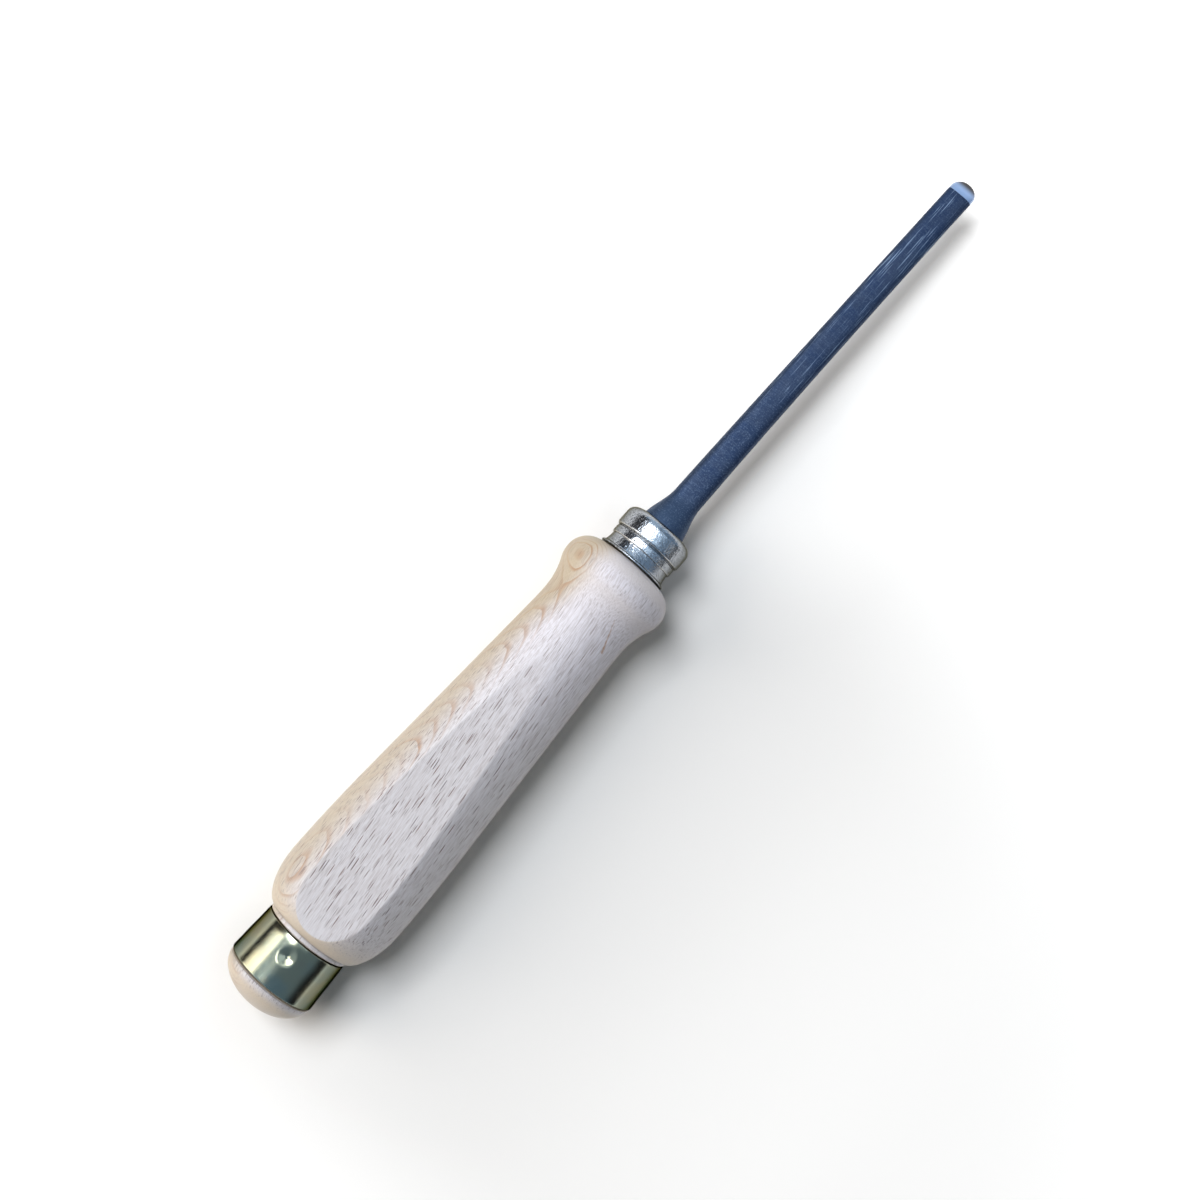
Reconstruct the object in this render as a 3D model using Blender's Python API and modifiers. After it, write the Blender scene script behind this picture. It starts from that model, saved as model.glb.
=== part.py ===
"""Carving chisel: a turned wooden handle with a hoop, a ferrule and a forged blade.

The handle is turned about the tool's axis and flattened above and below. A plated hoop guards
its butt and a stepped ferrule its front end, where the blade's tang is driven into the wood.
The tool lies on the bench on its bead and its lower flat, with its blade along +X.
Lengths are in metres. Stations are distances along the axis, from the butt to the cutting edge.
In the tool's own frame the axis is +Z and the side that faces up on the bench is -X.
"""

import math

import bmesh
import bpy
import numpy as np

MM = 0.001
QUARTER = math.pi / 2

# Fits and cuts
CLEARANCE = 0.3 * MM
CUT_OVERSHOOT = 2.0 * MM

# Butt: the wood's dome, the hoop and the bare collar in front of it
DOME_HEIGHT = 7.0 * MM
DOME_RADIUS = 11.35 * MM
HOOP_LENGTH = 12.2 * MM
HOOP_REAR_RADIUS = 11.6 * MM
HOOP_FRONT_RADIUS = 11.0 * MM
HOOP_WALL = 1.1 * MM
HOOP_EDGE = 0.3 * MM
DIMPLE_FROM_FRONT = 4.0 * MM
DIMPLE_WIDTH = 4.4 * MM
DIMPLE_DEPTH = 0.7 * MM
COLLAR_WIDTH = 1.3 * MM
COLLAR_RADIUS = 10.9 * MM

# Turned body of the handle
SHOULDER_RADIUS = 11.9 * MM
ROUND_LENGTH = 13.0 * MM
ROUND_DEPTH = 6.0 * MM
BELLY_RADIUS = 15.86 * MM
BELLY_SWEEP = 380.0 * MM
WAIST_FROM_SHOULDER = 95.2 * MM
WAIST_RADIUS = 11.82 * MM
WAIST_SWEEP = 70.0 * MM
COVE_SWEEP = 19.0 * MM
BEAD_RISE = 2.43 * MM
BEAD_REAR_SWEEP = 8.0 * MM
BEAD_FRONT_SWEEP = 5.7 * MM
SPIGOT_CHAMFER = 0.6 * MM

# Flats above and below: distance from the axis at the rear end, and closing angle
FLAT_REACH = 13.4 * MM
FLAT_TAPER = math.radians(0.68)

# Ferrule, from the handle's bead to the blade: its rises are measured from the neck's thin end
BORE_RADIUS = 7.2 * MM
NECK_WALL = 0.9 * MM
NECK_WIDTH = 2.3 * MM
NECK_FLARE = 0.55 * MM
RIM_WIDTH = 1.6 * MM
RIM_RISE = 1.1 * MM
STEP_WIDTH = 1.4 * MM
STEP_RISE = 0.45 * MM
STEP_ROUND = 0.3 * MM
GROOVE_WIDTH = 0.4 * MM
CAP_WIDTH = 5.75 * MM
CAP_RISE = 0.9 * MM
CAP_EDGE = 0.3 * MM
CAP_ROUND = 2.2 * MM
CAP_LIP = 1.2 * MM
MOUTH_CLEARANCE = 0.65 * MM

# Blade: square tang, flared root, crowned shank and ground nose
TANG_LENGTH = 78.0 * MM
TANG_ROOT_WIDTH = 6.0 * MM
TANG_END_WIDTH = 2.8 * MM
BLADE_LENGTH = 112.7 * MM
ROOT_WIDTH = 11.5 * MM
ROOT_HEIGHT = 10.4 * MM
FLARE_LENGTH = 10.3 * MM
SHANK_WIDTH = 7.56 * MM
SHANK_RISE = 2.9 * MM
SHANK_DROP = 2.9 * MM
SHANK_DRIFT = 1.4 * MM
NOSE_WIDTH = 6.6 * MM
NOSE_RISE = 1.35 * MM
NOSE_DROP = 1.05 * MM
HEEL_SETBACK = 0.9 * MM

# Share of the nose's bevel that rolls over, from 0 for a flat bevel to 1 for a fully rounded one
BEVEL_ROLL = 0.4

# How late the shank's drift sets in: 1 is a straight slant, 2 a steady curve
DRIFT_POWER = 1.5

# Roundness of the blade's sections: 2 is an ellipse, large numbers are nearly square
TANG_SQUARENESS = 12.0
ROOT_SQUARENESS = 2.2
CROWN_SQUARENESS = 3.0
BACK_SQUARENESS = 5.0

# Facets
TURNED_STEPS = 48
FERRULE_STEPS = 40
BALL_STEPS = 28
ARC_STEP = math.radians(9.0)
SECTION_POINTS = 28
FLARE_STEPS = 7
SHANK_STEPS = 9
NOSE_STEPS = 7
NOSE_LAST_TURN = math.radians(84.0)
SHARP_ANGLE = math.radians(35.0)

# Stations along the axis, and radii that follow from the sizes above
HOOP_REAR = DOME_HEIGHT + CLEARANCE
HOOP_FRONT = HOOP_REAR + HOOP_LENGTH
COLLAR_REAR = HOOP_FRONT + CLEARANCE
SHOULDER = COLLAR_REAR + COLLAR_WIDTH
ROUND_START = math.pi - math.asin(1 - (BELLY_RADIUS - SHOULDER_RADIUS) / ROUND_DEPTH)
BELLY = SHOULDER - ROUND_LENGTH * math.cos(ROUND_START)
WAIST = SHOULDER + WAIST_FROM_SHOULDER
COVE_TURN = math.acos(1 - BEAD_RISE / (COVE_SWEEP + BEAD_REAR_SWEEP))
BEAD = WAIST + (COVE_SWEEP + BEAD_REAR_SWEEP) * math.sin(COVE_TURN)
BEAD_RADIUS = WAIST_RADIUS + BEAD_RISE
BEAD_FACE = BEAD + BEAD_FRONT_SWEEP
FERRULE_REAR = BEAD_FACE + CLEARANCE
FERRULE_LENGTH = RIM_WIDTH + NECK_WIDTH + STEP_WIDTH + GROOVE_WIDTH + CAP_WIDTH
BLADE_SEAT = FERRULE_REAR + FERRULE_LENGTH - CAP_LIP
SPIGOT_END = BLADE_SEAT - CLEARANCE
NOSE_RADIUS = NOSE_WIDTH / 2
NOSE_LENGTH = NOSE_RADIUS + HEEL_SETBACK
HEEL = BLADE_LENGTH - NOSE_LENGTH
TIP = BLADE_SEAT + BLADE_LENGTH

# Rear end of a flat, where its plane leaves the rounded shoulder
FLAT_TURN = math.pi - math.asin(1 - (BELLY_RADIUS - FLAT_REACH) / ROUND_DEPTH)
FLAT_REAR = BELLY + ROUND_LENGTH * math.cos(FLAT_TURN)

# On the bench the tool leans back from its bead onto the rear end of the lower flat
LEAN = math.atan2(BEAD_RADIUS - FLAT_REACH, BEAD - FLAT_REAR)


def clear_scene():
    """Remove every object, so that the model starts from an empty scene."""
    for item in list(bpy.data.objects):
        bpy.data.objects.remove(item, do_unlink=True)


def new_collection(name):
    """Add a collection to the scene."""
    collection = bpy.data.collections.new(name)
    bpy.context.scene.collection.children.link(collection)
    return collection


def finish(name, colour, roughness, metallic):
    """Make a plain Principled material."""
    material = bpy.data.materials.new(name)
    material.use_nodes = True
    shader = material.node_tree.nodes["Principled BSDF"]
    shader.inputs["Base Color"].default_value = (*colour, 1.0)
    shader.inputs["Roughness"].default_value = roughness
    shader.inputs["Metallic"].default_value = metallic
    return material


def add_part(name, mesh, collection, parent, station, material=None):
    """Place a mesh on the tool's axis, with its origin at a station."""
    part = bpy.data.objects.new(name, mesh)
    collection.objects.link(part)
    part.parent = parent
    part.location = (0.0, 0.0, station)
    if material:
        mesh.materials.append(material)
    return part


def as_cutter(part):
    """Keep a helper shape out of the finished model."""
    part.hide_render = True
    part.display_type = "WIRE"
    return part


def boolean(part, operation, other):
    """Cut a part with another, or join them."""
    modifier = part.modifiers.new(f"{operation.lower()}_{other.name}", "BOOLEAN")
    modifier.operation = operation
    modifier.solver = "EXACT"
    modifier.object = other


def arc(centre, radii, start, end):
    """Points (station, radius) on an elliptic arc, angles measured from the axis."""
    steps = max(2, math.ceil(abs(end - start) / ARC_STEP))
    angles = np.linspace(start, end, steps + 1)
    return [(centre[0] + radii[0] * math.cos(a), centre[1] + radii[1] * math.sin(a)) for a in angles]


def circle_arc(centre, radius, start, end):
    """Points (station, radius) on a circular arc."""
    return arc(centre, (radius, radius), start, end)


def turned_mesh(name, outline, closed):
    """Profile of a turned piece, given from rear to front along its outside, as a mesh of edges."""
    points = [(radius, 0.0, station) for station, radius in reversed(outline)]
    edges = [(i, i + 1) for i in range(len(points) - 1)]
    if closed:
        edges.append((len(points) - 1, 0))
    mesh = bpy.data.meshes.new(name)
    mesh.from_pydata(points, edges, [])
    return mesh


def turn(part, steps):
    """Turn a profile about the tool's axis."""
    modifier = part.modifiers.new("turn", "SCREW")
    modifier.axis = "Z"
    modifier.steps = steps
    modifier.render_steps = steps
    modifier.use_merge_vertices = True
    modifier.merge_threshold = 0.01 * MM
    modifier.use_smooth_shade = True


def mesh_from_bmesh(name, shape):
    """Turn a bmesh into mesh data and free it."""
    mesh = bpy.data.meshes.new(name)
    bmesh.ops.recalc_face_normals(shape, faces=shape.faces)
    shape.to_mesh(mesh)
    shape.free()
    return mesh


def body_taper():
    """Slope of the straight taper that touches the belly's arc and the waist's arc."""
    sweeps = BELLY_SWEEP + WAIST_SWEEP
    along = WAIST - BELLY
    across = sweeps - (BELLY_RADIUS - WAIST_RADIUS)
    return math.atan2(along, across) - math.acos(sweeps / math.hypot(along, across))


def hoop_radius(station):
    """Outer radius of the conical hoop at a station."""
    share = (station - HOOP_REAR) / HOOP_LENGTH
    return HOOP_REAR_RADIUS + (HOOP_FRONT_RADIUS - HOOP_REAR_RADIUS) * share


def butt_outline():
    """Outline of the dome, the tenon under the hoop and the collar, up to the shoulder."""
    tenon_rear = hoop_radius(DOME_HEIGHT) - HOOP_WALL - CLEARANCE
    tenon_front = hoop_radius(COLLAR_REAR) - HOOP_WALL - CLEARANCE
    dome = arc((DOME_HEIGHT, 0.0), (DOME_HEIGHT, DOME_RADIUS), math.pi, QUARTER)
    dome[0] = (0.0, 0.0)
    tenon = [(DOME_HEIGHT, tenon_rear), (COLLAR_REAR, tenon_front)]
    collar = [(COLLAR_REAR, COLLAR_RADIUS), (SHOULDER, COLLAR_RADIUS)]
    return dome + tenon + collar


def body_outline():
    """Outline of the rounded shoulder, the belly, the straight taper and the waist."""
    taper = body_taper()
    round_centre = (BELLY, BELLY_RADIUS - ROUND_DEPTH)
    belly_centre = (BELLY, BELLY_RADIUS - BELLY_SWEEP)
    waist_centre = (WAIST, WAIST_RADIUS + WAIST_SWEEP)
    outline = arc(round_centre, (ROUND_LENGTH, ROUND_DEPTH), ROUND_START, QUARTER)
    outline += circle_arc(belly_centre, BELLY_SWEEP, QUARTER, QUARTER - taper)[1:]
    outline += circle_arc(waist_centre, WAIST_SWEEP, -QUARTER - taper, -QUARTER)
    return outline


def bead_outline():
    """Outline of the cove, the bead and the spigot that the ferrule sits on."""
    spigot = BORE_RADIUS - CLEARANCE
    cove_centre = (WAIST, WAIST_RADIUS + COVE_SWEEP)
    rear_centre = (BEAD, BEAD_RADIUS - BEAD_REAR_SWEEP)
    front_centre = (BEAD, BEAD_RADIUS - BEAD_FRONT_SWEEP)
    outline = circle_arc(cove_centre, COVE_SWEEP, -QUARTER, -QUARTER + COVE_TURN)[1:]
    outline += circle_arc(rear_centre, BEAD_REAR_SWEEP, QUARTER + COVE_TURN, QUARTER)[1:]
    outline += circle_arc(front_centre, BEAD_FRONT_SWEEP, QUARTER, 0.0)[1:]
    outline += [(BEAD_FACE, spigot), (SPIGOT_END - SPIGOT_CHAMFER, spigot)]
    outline += [(SPIGOT_END, spigot - SPIGOT_CHAMFER), (SPIGOT_END, 0.0)]
    return outline


def flat_cutter(name, side, collection, parent):
    """Block whose inner face is one flat of the handle; side is 1 below the axis and -1 above."""
    depth = BELLY_RADIUS
    width = 2 * (BELLY_RADIUS + CUT_OVERSHOOT)
    rear = SHOULDER - COLLAR_WIDTH / 2
    front = WAIST - CUT_OVERSHOOT
    middle = (rear + front) / 2 - FLAT_REAR
    shape = bmesh.new()
    bmesh.ops.create_cube(shape, size=1.0)
    bmesh.ops.scale(shape, vec=(depth, width, front - rear), verts=shape.verts)
    bmesh.ops.translate(shape, vec=(depth / 2, 0.0, middle), verts=shape.verts)
    block = add_part(name, mesh_from_bmesh(name, shape), collection, parent, FLAT_REAR)
    block.location.x = side * FLAT_REACH
    block.rotation_euler = (0.0, -FLAT_TAPER, 0.0 if side > 0 else math.pi)
    return as_cutter(block)


def tang_hole_cutter(collection, parent):
    """Square tapered hole for the tang, open at the spigot's end."""
    depth = TANG_LENGTH + CLEARANCE
    slope = (TANG_ROOT_WIDTH - TANG_END_WIDTH) / TANG_LENGTH
    mouth = TANG_ROOT_WIDTH + 2 * CLEARANCE + slope * CUT_OVERSHOOT
    bottom = TANG_END_WIDTH + 2 * CLEARANCE
    shape = bmesh.new()
    bmesh.ops.create_cone(
        shape, cap_ends=True, segments=4, depth=depth + CUT_OVERSHOOT,
        radius1=bottom / math.sqrt(2), radius2=mouth / math.sqrt(2))
    bmesh.ops.translate(shape, vec=(0.0, 0.0, (CUT_OVERSHOOT - depth) / 2), verts=shape.verts)
    hole = add_part("tang_hole_cutter", mesh_from_bmesh("tang_hole", shape), collection, parent, BLADE_SEAT)
    hole.rotation_euler = (0.0, 0.0, math.pi / 4)
    return as_cutter(hole)


def punch_radius():
    """Radius of the ball that presses a dimple of the given width and depth."""
    return ((DIMPLE_WIDTH / 2) ** 2 + DIMPLE_DEPTH ** 2) / (2 * DIMPLE_DEPTH)


def punch_ball(name, radius, collection, parent):
    """Ball over the hoop's upper side, centred where the punch stops."""
    station = HOOP_FRONT - DIMPLE_FROM_FRONT
    shape = bmesh.new()
    bmesh.ops.create_uvsphere(shape, u_segments=BALL_STEPS, v_segments=BALL_STEPS, radius=radius)
    ball = add_part(name, mesh_from_bmesh(name, shape), collection, parent, station)
    ball.location.x = DIMPLE_DEPTH - hoop_radius(station) - punch_radius()
    return as_cutter(ball)


def hoop_core(collection, parent):
    """Solid cone to the middle of the hoop's wall, which bounds the dimple's inner bulge."""
    middle = HOOP_WALL / 2
    outline = [(0.0, 0.0), (0.0, HOOP_REAR_RADIUS - middle)]
    outline += [(HOOP_LENGTH, HOOP_FRONT_RADIUS - middle), (HOOP_LENGTH, 0.0)]
    core = add_part("hoop_core", turned_mesh("hoop_core", outline, False), collection, parent, HOOP_REAR)
    turn(core, TURNED_STEPS)
    return as_cutter(core)


def make_handle(parts, cutters, tool):
    """Turned handle with two flats, the tang's hole and the pocket under the hoop's dimple."""
    wood = finish("pale_beech", (0.62, 0.48, 0.36), 0.5, 0.0)
    outline = butt_outline() + body_outline() + bead_outline()
    handle = add_part("handle", turned_mesh("handle", outline, False), parts, tool, 0.0, wood)
    turn(handle, TURNED_STEPS)
    boolean(handle, "DIFFERENCE", flat_cutter("lower_flat_cutter", 1, cutters, tool))
    boolean(handle, "DIFFERENCE", flat_cutter("upper_flat_cutter", -1, cutters, tool))
    boolean(handle, "DIFFERENCE", tang_hole_cutter(cutters, tool))
    pocket_radius = punch_radius() + HOOP_WALL + CLEARANCE
    boolean(handle, "DIFFERENCE", punch_ball("dimple_pocket", pocket_radius, cutters, tool))


def make_rear_hoop(parts, cutters, tool):
    """Conical hoop on the butt, with one dimple punched through its wall into the wood."""
    plate = finish("yellow_zinc", (0.45, 0.40, 0.18), 0.28, 1.0)
    rear, front, wall, edge = HOOP_REAR_RADIUS, HOOP_FRONT_RADIUS, HOOP_WALL, HOOP_EDGE
    outline = [(0.0, rear - wall), (0.0, rear - edge), (edge, rear)]
    outline += [(HOOP_LENGTH - edge, front), (HOOP_LENGTH, front - edge), (HOOP_LENGTH, front - wall)]
    hoop = add_part("rear_hoop", turned_mesh("rear_hoop", outline, True), parts, tool, HOOP_REAR, plate)
    turn(hoop, TURNED_STEPS)
    bulge = punch_ball("dimple_bulge", punch_radius() + HOOP_WALL, cutters, tool)
    boolean(bulge, "INTERSECT", hoop_core(cutters, tool))
    boolean(hoop, "UNION", bulge)
    boolean(hoop, "DIFFERENCE", punch_ball("dimple_punch", punch_radius(), cutters, tool))


def ferrule_outline():
    """Closed outline of the ferrule: rim, neck, step, groove and cap, then back along the bore."""
    neck = BORE_RADIUS + NECK_WALL
    step = neck + STEP_RISE
    cap = neck + CAP_RISE
    mouth = max(ROOT_WIDTH, ROOT_HEIGHT) / 2 + MOUTH_CLEARANCE
    cap_round = min(CAP_ROUND, cap - mouth)
    neck_end = RIM_WIDTH + NECK_WIDTH
    step_end = neck_end + STEP_WIDTH
    cap_start = step_end + GROOVE_WIDTH
    lip = FERRULE_LENGTH - CAP_LIP
    rim_centre = (RIM_WIDTH / 2, neck + NECK_FLARE)
    outline = [(0.0, BORE_RADIUS)]
    outline += arc(rim_centre, (RIM_WIDTH / 2, RIM_RISE - NECK_FLARE), math.pi, 0.0)
    outline += [(neck_end, neck)]
    outline += circle_arc((neck_end + STEP_ROUND, step - STEP_ROUND), STEP_ROUND, math.pi, QUARTER)
    outline += [(step_end, step), ((step_end + cap_start) / 2, neck)]
    outline += [(cap_start, cap - CAP_EDGE), (cap_start + CAP_EDGE, cap)]
    outline += circle_arc((FERRULE_LENGTH - cap_round, cap - cap_round), cap_round, QUARTER, 0.0)
    outline += [(FERRULE_LENGTH, mouth), (lip, mouth), (lip, BORE_RADIUS)]
    return outline


def make_front_ferrule(parts, tool):
    """Stepped ferrule, open at the rear for the spigot and at the front for the blade."""
    plate = finish("bright_nickel", (0.72, 0.70, 0.68), 0.18, 1.0)
    mesh = turned_mesh("front_ferrule", ferrule_outline(), True)
    ferrule = add_part("front_ferrule", mesh, parts, tool, FERRULE_REAR, plate)
    turn(ferrule, FERRULE_STEPS)


def blend(start, end, share):
    """Value at a share of the way from start to end."""
    return start + (end - start) * share


def shank_drift(station):
    """Sideways drift of the forged shank, which grows from the flare to the heel."""
    share = (station - FLARE_LENGTH) / (HEEL - FLARE_LENGTH)
    return SHANK_DRIFT * max(share, 0.0) ** DRIFT_POWER


def blade_section(station, half_width, rise, drop, crown, back, middle=0.0):
    """Closed ring across the blade: a rounded arch above the middle line and one below it."""
    angles = np.linspace(0.0, 2 * math.pi, SECTION_POINTS, endpoint=False)
    above = np.sin(angles) >= 0
    power = np.where(above, 2 / crown, 2 / back)
    reach = np.where(above, rise, drop)
    across = half_width * np.sign(np.cos(angles)) * np.abs(np.cos(angles)) ** power
    up = middle + reach * np.sign(np.sin(angles)) * np.abs(np.sin(angles)) ** power
    drift = shank_drift(station)
    return [(-u, a - drift, station) for u, a in zip(up, across)]


def tang_sections():
    """Square tang, from its driven end to the seat."""
    rings = []
    for station, width in ((-TANG_LENGTH, TANG_END_WIDTH), (0.0, TANG_ROOT_WIDTH)):
        half = width / 2
        rings.append(blade_section(station, half, half, half, TANG_SQUARENESS, TANG_SQUARENESS))
    return rings


def flare_sections():
    """Round root that eases into the flatter shank."""
    rings = []
    for share in np.linspace(0.0, 1.0, FLARE_STEPS + 1):
        ease = share * share * (3 - 2 * share)
        rings.append(blade_section(
            FLARE_LENGTH * share,
            blend(ROOT_WIDTH, SHANK_WIDTH, ease) / 2,
            blend(ROOT_HEIGHT / 2, SHANK_RISE, ease),
            blend(ROOT_HEIGHT / 2, SHANK_DROP, ease),
            blend(ROOT_SQUARENESS, CROWN_SQUARENESS, ease),
            blend(ROOT_SQUARENESS, BACK_SQUARENESS, ease)))
    return rings


def shank_sections():
    """Crowned shank, which thins in a straight line and narrows in a curve up to the heel."""
    rings = []
    for share in np.linspace(0.0, 1.0, SHANK_STEPS + 1)[1:]:
        rings.append(blade_section(
            blend(FLARE_LENGTH, HEEL, share),
            blend(NOSE_WIDTH, SHANK_WIDTH, (1 - share) ** 2) / 2,
            blend(SHANK_RISE, NOSE_RISE, share),
            blend(SHANK_DROP, NOSE_DROP, share),
            CROWN_SQUARENESS, BACK_SQUARENESS))
    return rings


def nose_sections():
    """Ground nose, round in plan: its bevel falls from the heel to the edge at the flat back."""
    rings = []
    for angle in np.linspace(0.0, NOSE_LAST_TURN, NOSE_STEPS + 1):
        station = BLADE_LENGTH - NOSE_RADIUS + NOSE_RADIUS * math.sin(angle)
        share = (station - HEEL) / NOSE_LENGTH
        fall = blend(share, share * share, BEVEL_ROLL)
        middle = -NOSE_DROP * share
        top = blend(NOSE_RISE, -NOSE_DROP, fall)
        rings.append(blade_section(
            station, NOSE_RADIUS * math.cos(angle), top - middle, NOSE_DROP + middle,
            CROWN_SQUARENESS, BACK_SQUARENESS, middle))
    return rings


def make_blade(parts, tool):
    """Forged blade, lofted from its square tang through the round root to the ground nose."""
    steel = finish("blued_steel", (0.035, 0.06, 0.12), 0.42, 1.0)
    rings = tang_sections() + flare_sections() + shank_sections() + nose_sections()
    shape = bmesh.new()
    loops = [[shape.verts.new(point) for point in ring] for ring in rings]
    for near, far in zip(loops, loops[1:]):
        for i in range(SECTION_POINTS):
            j = (i + 1) % SECTION_POINTS
            shape.faces.new((near[i], near[j], far[j], far[i]))
    shape.faces.new(loops[0])
    shape.faces.new(loops[-1])
    mesh = mesh_from_bmesh("blade", shape)
    mesh.shade_smooth()
    mesh.set_sharp_from_angle(angle=SHARP_ANGLE)
    add_part("blade", mesh, parts, tool, BLADE_SEAT, steel)


def make_tool_axis(parts):
    """Empty that lays the tool's axis along +X, with the bead and the lower flat on the bench."""
    tool = bpy.data.objects.new("tool_axis", None)
    parts.objects.link(tool)
    tool.rotation_euler = (0.0, QUARTER - LEAN, 0.0)
    height = FLAT_REACH * math.cos(LEAN) - FLAT_REAR * math.sin(LEAN)
    tool.location = (-TIP * math.cos(LEAN) / 2, 0.0, height)
    return tool


def main():
    """Build the chisel."""
    clear_scene()
    parts = new_collection("carving_chisel")
    cutters = new_collection("cutters")
    tool = make_tool_axis(parts)
    make_handle(parts, cutters, tool)
    make_rear_hoop(parts, cutters, tool)
    make_front_ferrule(parts, tool)
    make_blade(parts, tool)
    bpy.context.view_layer.update()


main()
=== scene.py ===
"""Looks of a carving chisel: a turned beech handle, two plated metal fittings and a blued blade.

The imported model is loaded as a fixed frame. Each of its four nodes is replaced by a finer surface
of the same sizes, worked out with numpy and dressed with a procedural finish. Lengths are in
metres, and in the patterns of a finish in millimetres. A station is a distance along the tool's
axis, from the butt to the cutting edge. A turn is an angle about that axis, from 0 at the top
towards +Y.
"""

from __future__ import annotations

import logging
import math
from collections.abc import Mapping, Sequence
from dataclasses import dataclass
from enum import Enum
from functools import reduce

import bpy
import numpy as np
from mathutils import Matrix, Vector

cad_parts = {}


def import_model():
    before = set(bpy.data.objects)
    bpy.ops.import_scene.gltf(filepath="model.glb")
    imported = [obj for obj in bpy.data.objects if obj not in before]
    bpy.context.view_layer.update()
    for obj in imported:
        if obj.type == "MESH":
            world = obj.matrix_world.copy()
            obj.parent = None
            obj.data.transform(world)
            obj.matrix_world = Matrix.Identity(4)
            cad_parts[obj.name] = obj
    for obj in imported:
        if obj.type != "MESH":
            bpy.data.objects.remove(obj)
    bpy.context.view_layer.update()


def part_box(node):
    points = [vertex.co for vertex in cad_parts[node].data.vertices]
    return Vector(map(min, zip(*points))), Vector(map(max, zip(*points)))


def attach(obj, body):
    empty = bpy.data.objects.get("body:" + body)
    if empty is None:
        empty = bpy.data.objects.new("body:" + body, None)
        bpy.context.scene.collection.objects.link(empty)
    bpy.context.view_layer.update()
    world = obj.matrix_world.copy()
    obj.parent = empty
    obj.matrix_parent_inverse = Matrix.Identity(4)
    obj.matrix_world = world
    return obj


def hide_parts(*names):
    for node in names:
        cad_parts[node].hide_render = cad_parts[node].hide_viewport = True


LOG = logging.getLogger("chisel")
MM = 0.001
QUARTER = math.pi / 2
FULL_TURN = 2 * math.pi
BODY = "root"
ZERO = (0.0, 0.0, 0.0)
WHITE = (1.0, 1.0, 1.0)

Span = tuple[float, float]
Triple = tuple[float, float, float]
Colour = tuple[float, float, float]
Socket = bpy.types.NodeSocket
Value = Socket | float | Sequence[float]
Feeds = Mapping[int | str, Value]


class Ends(Enum):
    """How the first and last row of a grid are closed."""

    POLES = "poles"
    LOOP = "loop"


class Slot(Enum):
    """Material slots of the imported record."""

    BEECH = "beech"
    YELLOW_ZINC = "yellow_zinc"
    NICKEL = "nickel"
    BLUED_STEEL = "blued_steel"


# Curves and surfaces


def arc(centre: Span, radii: Span, start: float, end: float, count: int) -> np.ndarray:
    """Points on an elliptic arc: centre plus radii times the cosine and sine of an even angle.

    Args:
        centre: Station and radius of the arc's centre.
        radii: Half-axes along the station and along the radius.
        start: First angle, measured from the axis.
        end: Last angle.
        count: Number of points.

    Returns:
        Array of shape (count, 2) with stations and radii.
    """
    angle = np.linspace(start, end, count)
    station = centre[0] + radii[0] * np.cos(angle)
    radius = centre[1] + radii[1] * np.sin(angle)
    return np.stack([station, radius], axis=1)


def round_arc(centre: Span, radius: float, start: float, end: float, count: int) -> np.ndarray:
    """Points on a circular arc, as stations and radii."""
    return arc(centre, (radius, radius), start, end, count)


def run(start: Span, end: Span, count: int) -> np.ndarray:
    """Even points on the straight line from start to end, as stations and radii."""
    return np.linspace(start, end, count)


def soft_min(first: np.ndarray, second: np.ndarray, width: float) -> np.ndarray:
    """Lower of two values, with the corner between them rounded by a parabola of that width."""
    share = np.clip(0.5 + 0.5 * (second - first) / width, 0.0, 1.0)
    return second + (first - second) * share - width * share * (1 - share)


def ease(low: float, high: float, value: np.ndarray) -> np.ndarray:
    """Cubic step that rises from 0 at low to 1 at high."""
    share = np.clip((value - low) / (high - low), 0.0, 1.0)
    return share * share * (3 - 2 * share)


def blend(start: float, end: float, share: np.ndarray) -> np.ndarray:
    """Value at a share of the way from start to end."""
    return start + (end - start) * share


def bell(offset: np.ndarray, width: float) -> np.ndarray:
    """Bell curve: e to the minus square of an offset that is counted in widths."""
    return np.exp(-(offset / width) ** 2)


def ripple(first: np.ndarray, second: np.ndarray, seed: int, waves: int = 9,
           pitches: Span = (0.6, 1.7)) -> np.ndarray:
    """Gentle unevenness: the mean of sine waves whose directions and phases are drawn from a seed.

    Args:
        first: First coordinate in wavelengths.
        second: Second coordinate in wavelengths.
        seed: Seed of the draws.
        waves: Number of waves.
        pitches: Lowest and highest pitch of a wave.

    Returns:
        Heights from about -1 to 1.
    """
    draw = np.random.default_rng(seed)
    heading = draw.uniform(0.0, FULL_TURN, waves)
    pitch = draw.uniform(*pitches, waves)
    phase = draw.uniform(0.0, FULL_TURN, waves)
    along = np.multiply.outer(first, pitch * np.cos(heading))
    across = np.multiply.outer(second, pitch * np.sin(heading))
    return np.sin(FULL_TURN * (along + across) + phase).sum(axis=-1) / math.sqrt(waves)


def signed_volume(points: np.ndarray, quads: np.ndarray) -> float:
    """Volume inside a closed skin: the sum over triangles of a . (b x c) / 6.

    Args:
        points: Points of shape (count, 3).
        quads: Indices of each quad's corners.

    Returns:
        The volume, negative where the faces point inwards.
    """
    a, b, c, d = (points[quads[:, i]] for i in range(4))
    halves = np.einsum("ij,ij->i", a, np.cross(b, c)) + np.einsum("ij,ij->i", a, np.cross(c, d))
    return float(halves.sum()) / 6


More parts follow.
